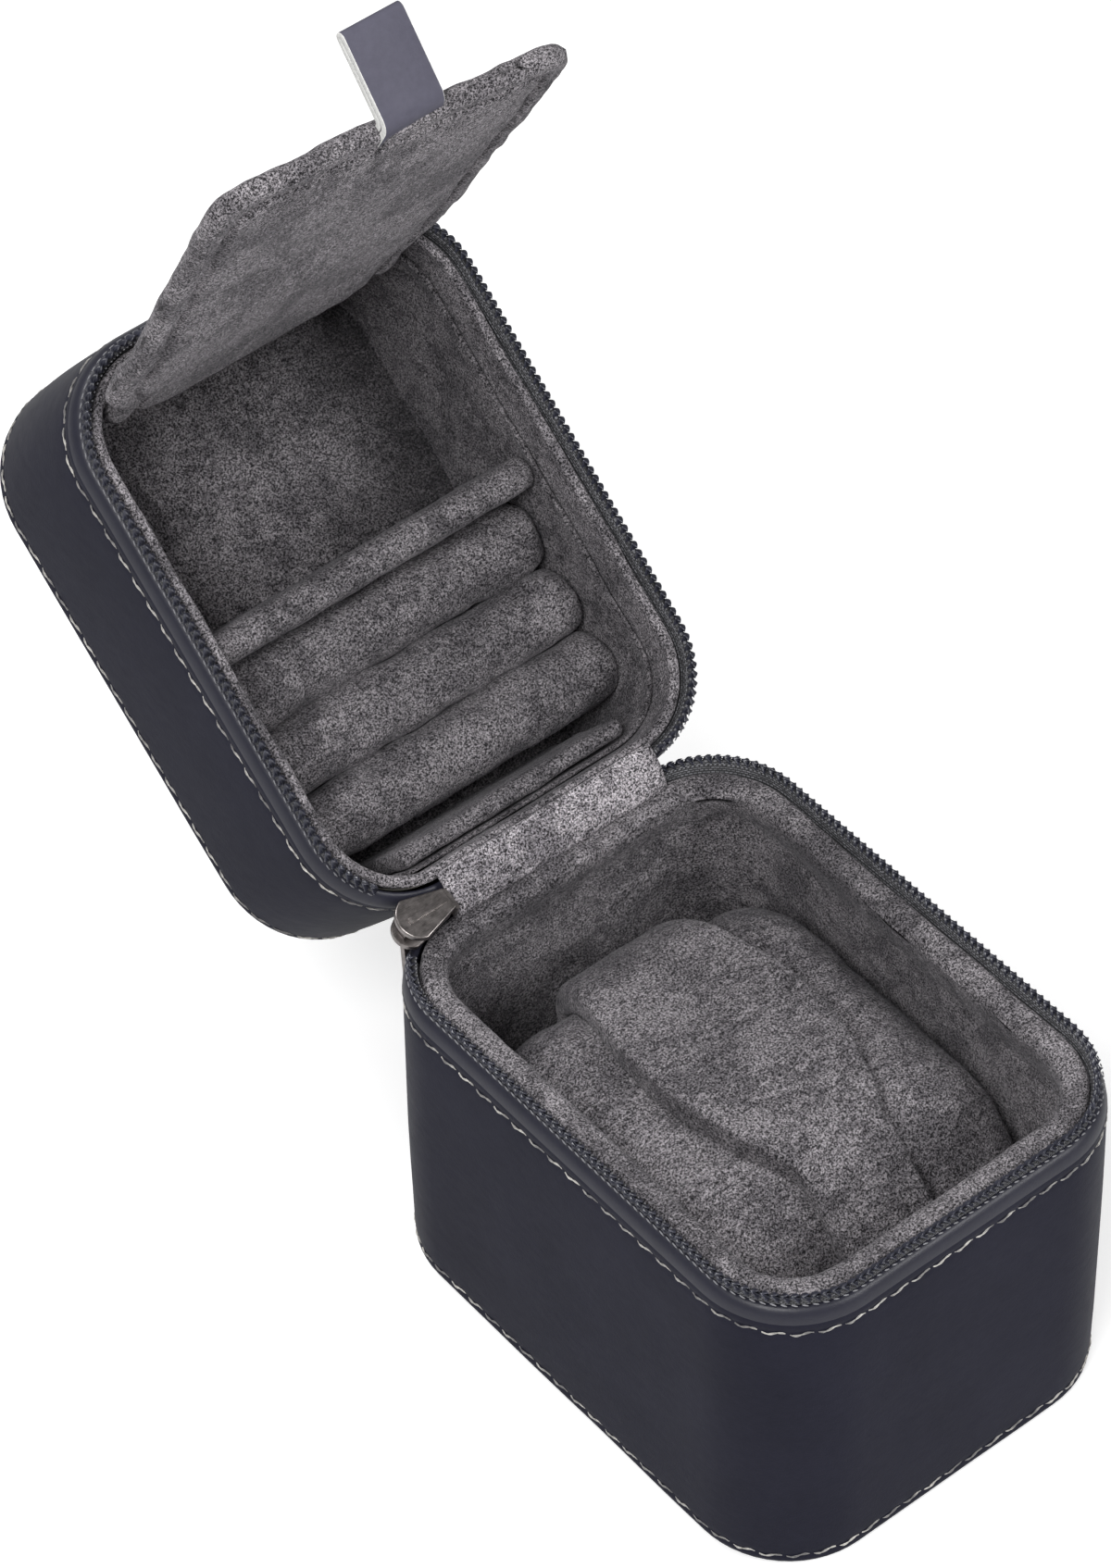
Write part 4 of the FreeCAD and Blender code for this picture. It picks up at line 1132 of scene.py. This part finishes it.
class TRAVELCASE_OT_flap(bpy.types.Operator):
    """Sew the padded flap and its folded leather tab"""
    bl_idname = "travel_case.flap"
    bl_label = "Flap and pull tab"

    def execute(self, context):
        sizes = case().flap
        # A lit copy of the suede: the flap's light tone is raised 1.12 times as painted light.
        suede = suede_material("flap_suede_painted_light", 1.12, (2.2, 1, 1))
        half = sizes.thickness / 2
        seam_width, seam_depth, puff = 0.7 * MM, 0.62, 0.55 * MM
        bm = bmesh.new()
        bmesh.ops.create_grid(bm, x_segments=72, y_segments=96, size=1.0)
        for vert in bm.verts:
            u, v = vert.co.x, (vert.co.y + 1) / 2
            run = -half + (sizes.reach + half) * (1 - (1 - v) ** 1.25)
            wide = flap_half_width(run)
            across = math.sin(u * QUARTER) * 0.35 + u * 0.65
            wide += noise.noise(Vector((run / (5 * MM), 2.2, 5 * round(u)))) * 0.55 * MM * u ** 8
            run += noise.noise(Vector((u * 6, 7.7, 0))) * 0.5 * MM * v ** 8
            vert.co = (across * wide, run, 0)
        bmesh.ops.solidify(bm, geom=bm.faces[:], thickness=half)
        bm.normal_update()
        for vert in bm.verts:
            x, run = vert.co.x, vert.co.y
            side = 1 if vert.co.z > -half / 2 else -1
            wide = flap_half_width(run)
            edge = min(wide - abs(x), sizes.reach - run)
            corner = sizes.corner
            dx, dy = abs(x) - (sizes.width / 2 - corner), run - (sizes.reach - corner)
            if dx > 0 and dy > 0:
                edge = corner - math.hypot(dx, dy)
            edge = max(0.0, edge)
            round_in = min(1.0, edge / half)
            rise = half * math.sqrt(max(0.0, 1 - (1 - round_in) ** 2))
            seam = math.exp(-((edge - sizes.seam) / seam_width) ** 2)
            rise *= 1 - seam_depth * seam
            if edge > sizes.seam:
                rise += puff * min(1, (edge - sizes.seam) / (6 * MM))
            near_edge = math.exp(-edge / (9 * MM))
            wave = waves(x, run, 7, 3.1, 0.5)
            wave += waves(x, run, 3, 8.4, 0.25)
            slow = waves(x, run, 22, 5.5, 0.7)
            free = min(1.0, max(0.0, run / (15 * MM)))
            lift = (wave * near_edge + slow) * free
            lift += sizes.twist * x / (30 * MM) * (run / sizes.reach) ** 2
            fine = waves(x, run, 2.4, side * 4.0, 0.12)
            y, z = curled(run, side * (rise + fine) + lift)
            vert.co = (x, y, z)
        obj = finish_piece("flap", bm, suede, "flap", ("flap_board", "flap_cover"),
                           flap_frame())
        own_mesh(obj)
        self.tab()
        return {"FINISHED"}

    def tab(self):
        """Fold a strip of leather double and sew it into the flap's free edge."""
        sizes = case().flap
        layer = sizes.tab_layer
        half = sizes.tab_width / 2
        gap = 0.08 * MM
        bm = bmesh.new()
        start = sizes.reach - 3.0 * MM
        near, far = gap, gap + layer
        verts = [bm.verts.new((x, start, z)) for x, z in
                 ((-half, near), (-half, far), (half, far), (half, near))]
        edges = [bm.edges.new(pair) for pair in zip(verts, verts[1:] + verts[:1])]
        geom = verts + edges
        bend_centre = (0, sizes.reach + 0.3 * MM, -1.5 * MM)
        geom = carry(bm, geom, 2, move=(0, 3.3 * MM, 0))
        geom = carry(bm, geom, 10, -sizes.tab_bend, bend_centre, X_AXIS)
        along = Matrix.Rotation(-sizes.tab_bend, 3, "X") @ Vector((0, 1, 0))
        straight = along * (sizes.tab_reach - layer)
        geom = carry(bm, geom, 10, move=straight)
        middle = Vector(bend_centre) + Matrix.Rotation(-sizes.tab_bend, 3, "X") @ Vector(
            (0, 0, 1.5 * MM)) + straight
        geom = carry(bm, geom, 10, -math.pi, middle, X_AXIS)
        geom = carry(bm, geom, 10, move=-straight)
        geom = carry(bm, geom, 8, sizes.tab_bend, bend_centre, X_AXIS)
        carry(bm, geom, 2, move=(0, -3.3 * MM, 0))
        bmesh.ops.holes_fill(bm, edges=[e for e in bm.edges if e.is_boundary], sides=0)
        bmesh.ops.recalc_face_normals(bm, faces=bm.faces)
        for face in bm.faces:
            face.material_index = 1 if abs(face.normal.x) > 0.7 else 0
        for vert in bm.verts:
            run, rise = vert.co.y, vert.co.z
            y, z = curled(run, rise)
            lean = sizes.twist * sizes.tab_centre / (30 * MM)
            vert.co = (vert.co.x + sizes.tab_centre, y, z + lean)
        edges = [e for e in bm.edges if len(e.link_faces) == 2
                 and e.link_faces[0].material_index != e.link_faces[1].material_index]
        rounded(bm, edges, 0.12 * MM, 2, slot=1)
        finishes = [leather_material("tab_leather", case().colours.tab), raw_edge_material()]
        obj = finish_piece("tab", bm, finishes, "flap", ("pull_tab",), flap_frame())
        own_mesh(obj)


# Stage

class TRAVELCASE_OT_stage(bpy.types.Operator):
    """Lay the floor, hang the lights and set the camera"""
    bl_idname = "travel_case.stage"
    bl_label = "Stage"

    def execute(self, context):
        settings = case().stage
        bm = bmesh.new()
        bmesh.ops.create_grid(bm, x_segments=1, y_segments=1, size=4.0)
        mesh = bpy.data.meshes.new("floor")
        bm.to_mesh(mesh)
        bm.free()
        floor = linked("floor", mesh)
        made, tree, shader = material("pale_floor")
        rays = node(tree, "ShaderNodeLightPath").outputs
        glow = weighed(tree, rays["Is Camera Ray"], 0.50, rays["Is Glossy Ray"], 0.08)
        fill(tree, shader, Base_Color=(*case().colours.floor, 1), Roughness=0.9,
             Emission_Color=(1, 1, 1, 1), Emission_Strength=glow)
        mesh.materials.append(made)

        world = bpy.data.worlds.new("studio")
        bpy.context.scene.world = world
        world.use_nodes = True
        tree = world.node_tree
        fill(tree, tree.nodes["Background"], Color=(1, 1, 1, 1), Strength=settings.world)

        lights = (("key", settings.key, (-0.46, -0.25, 0.72), 0.38),
                  ("fill", settings.fill, (0.30, -0.60, 0.55), 0.28),
                  ("top", settings.top, (-0.19, 0.50, 0.80), 0.22))
        target = Vector((0, 0.05, 0.05))
        for name, power, spot, size in lights:
            data = bpy.data.lights.new(name, "AREA")
            data.energy = power
            data.shape = "DISK"
            data.size = size
            lamp = linked(name, data)
            lamp.location = spot
            lamp.rotation_euler = (target - Vector(spot)).to_track_quat("-Z", "Y").to_euler()

        a, e, r = settings.azimuth, settings.elevation, settings.roll
        back = Vector((math.sin(a) * math.cos(e), -math.cos(a) * math.cos(e), math.sin(e)))
        right = Z_AXIS.cross(back).normalized()
        up = back.cross(right)
        across = right * math.cos(r) + up * math.sin(r)
        over = -right * math.sin(r) + up * math.cos(r)
        target = Vector((27.848, 77.772, 22.955)) * MM
        data = bpy.data.cameras.new("camera")
        data.lens = settings.focal
        data.sensor_width = 36.0
        data.clip_start = 0.05
        data.clip_end = 20.0
        camera = linked("camera", data)
        turned = Matrix((across, over, back)).transposed().to_4x4()
        camera.matrix_world = Matrix.Translation(target + back * settings.distance) @ turned
        bpy.context.scene.camera = camera
        bpy.context.scene.view_settings.view_transform = "Standard"
        return {"FINISHED"}


class TravelCase(bpy.types.PropertyGroup):
    """Every setting of the case."""
    shell: PointerProperty(type=CaseSizes)
    zip: PointerProperty(type=ZipSizes)
    sewing: PointerProperty(type=SewingSizes)
    lining: PointerProperty(type=LiningSizes)
    flap: PointerProperty(type=FlapSizes)
    hinge: PointerProperty(type=HingeSizes)
    colours: PointerProperty(type=CaseColours)
    stage: PointerProperty(type=StageSettings)


OPERATORS = (TRAVELCASE_OT_leather, TRAVELCASE_OT_zip, TRAVELCASE_OT_base_lining,
             TRAVELCASE_OT_lid_lining, TRAVELCASE_OT_hinge, TRAVELCASE_OT_cushion,
             TRAVELCASE_OT_flap, TRAVELCASE_OT_stage)


class TRAVELCASE_PT_panel(bpy.types.Panel):
    """Lists the case's pieces and settings"""
    bl_idname = "TRAVELCASE_PT_panel"
    bl_label = "Travel case"
    bl_space_type = "VIEW_3D"
    bl_region_type = "UI"
    bl_category = "Travel case"

    def draw(self, context):
        """One button for each operator, then every setting."""
        for operator in OPERATORS:
            self.layout.operator(operator.bl_idname)
        settings = context.scene.travel_case
        for group in ("shell", "zip", "sewing", "lining", "flap", "hinge", "colours", "stage"):
            box = self.layout.box()
            box.label(text=group.capitalize())
            part = getattr(settings, group)
            for name in part.__annotations__:
                box.prop(part, name)


CLASSES = (CaseSizes, ZipSizes, SewingSizes, LiningSizes, FlapSizes, HingeSizes, CaseColours,
           StageSettings, TravelCase, *OPERATORS, TRAVELCASE_PT_panel)


def register():
    """Add the classes and the scene's settings."""
    for item in CLASSES:
        bpy.utils.register_class(item)
    bpy.types.Scene.travel_case = PointerProperty(type=TravelCase)


def unregister():
    """Take the settings and the classes away again."""
    del bpy.types.Scene.travel_case
    for item in reversed(CLASSES):
        bpy.utils.unregister_class(item)


def main():
    """Build every piece."""
    register()
    for operator in OPERATORS:
        group, name = operator.bl_idname.split(".")
        getattr(getattr(bpy.ops, group), name)()


if __name__ == "__main__":
    main()
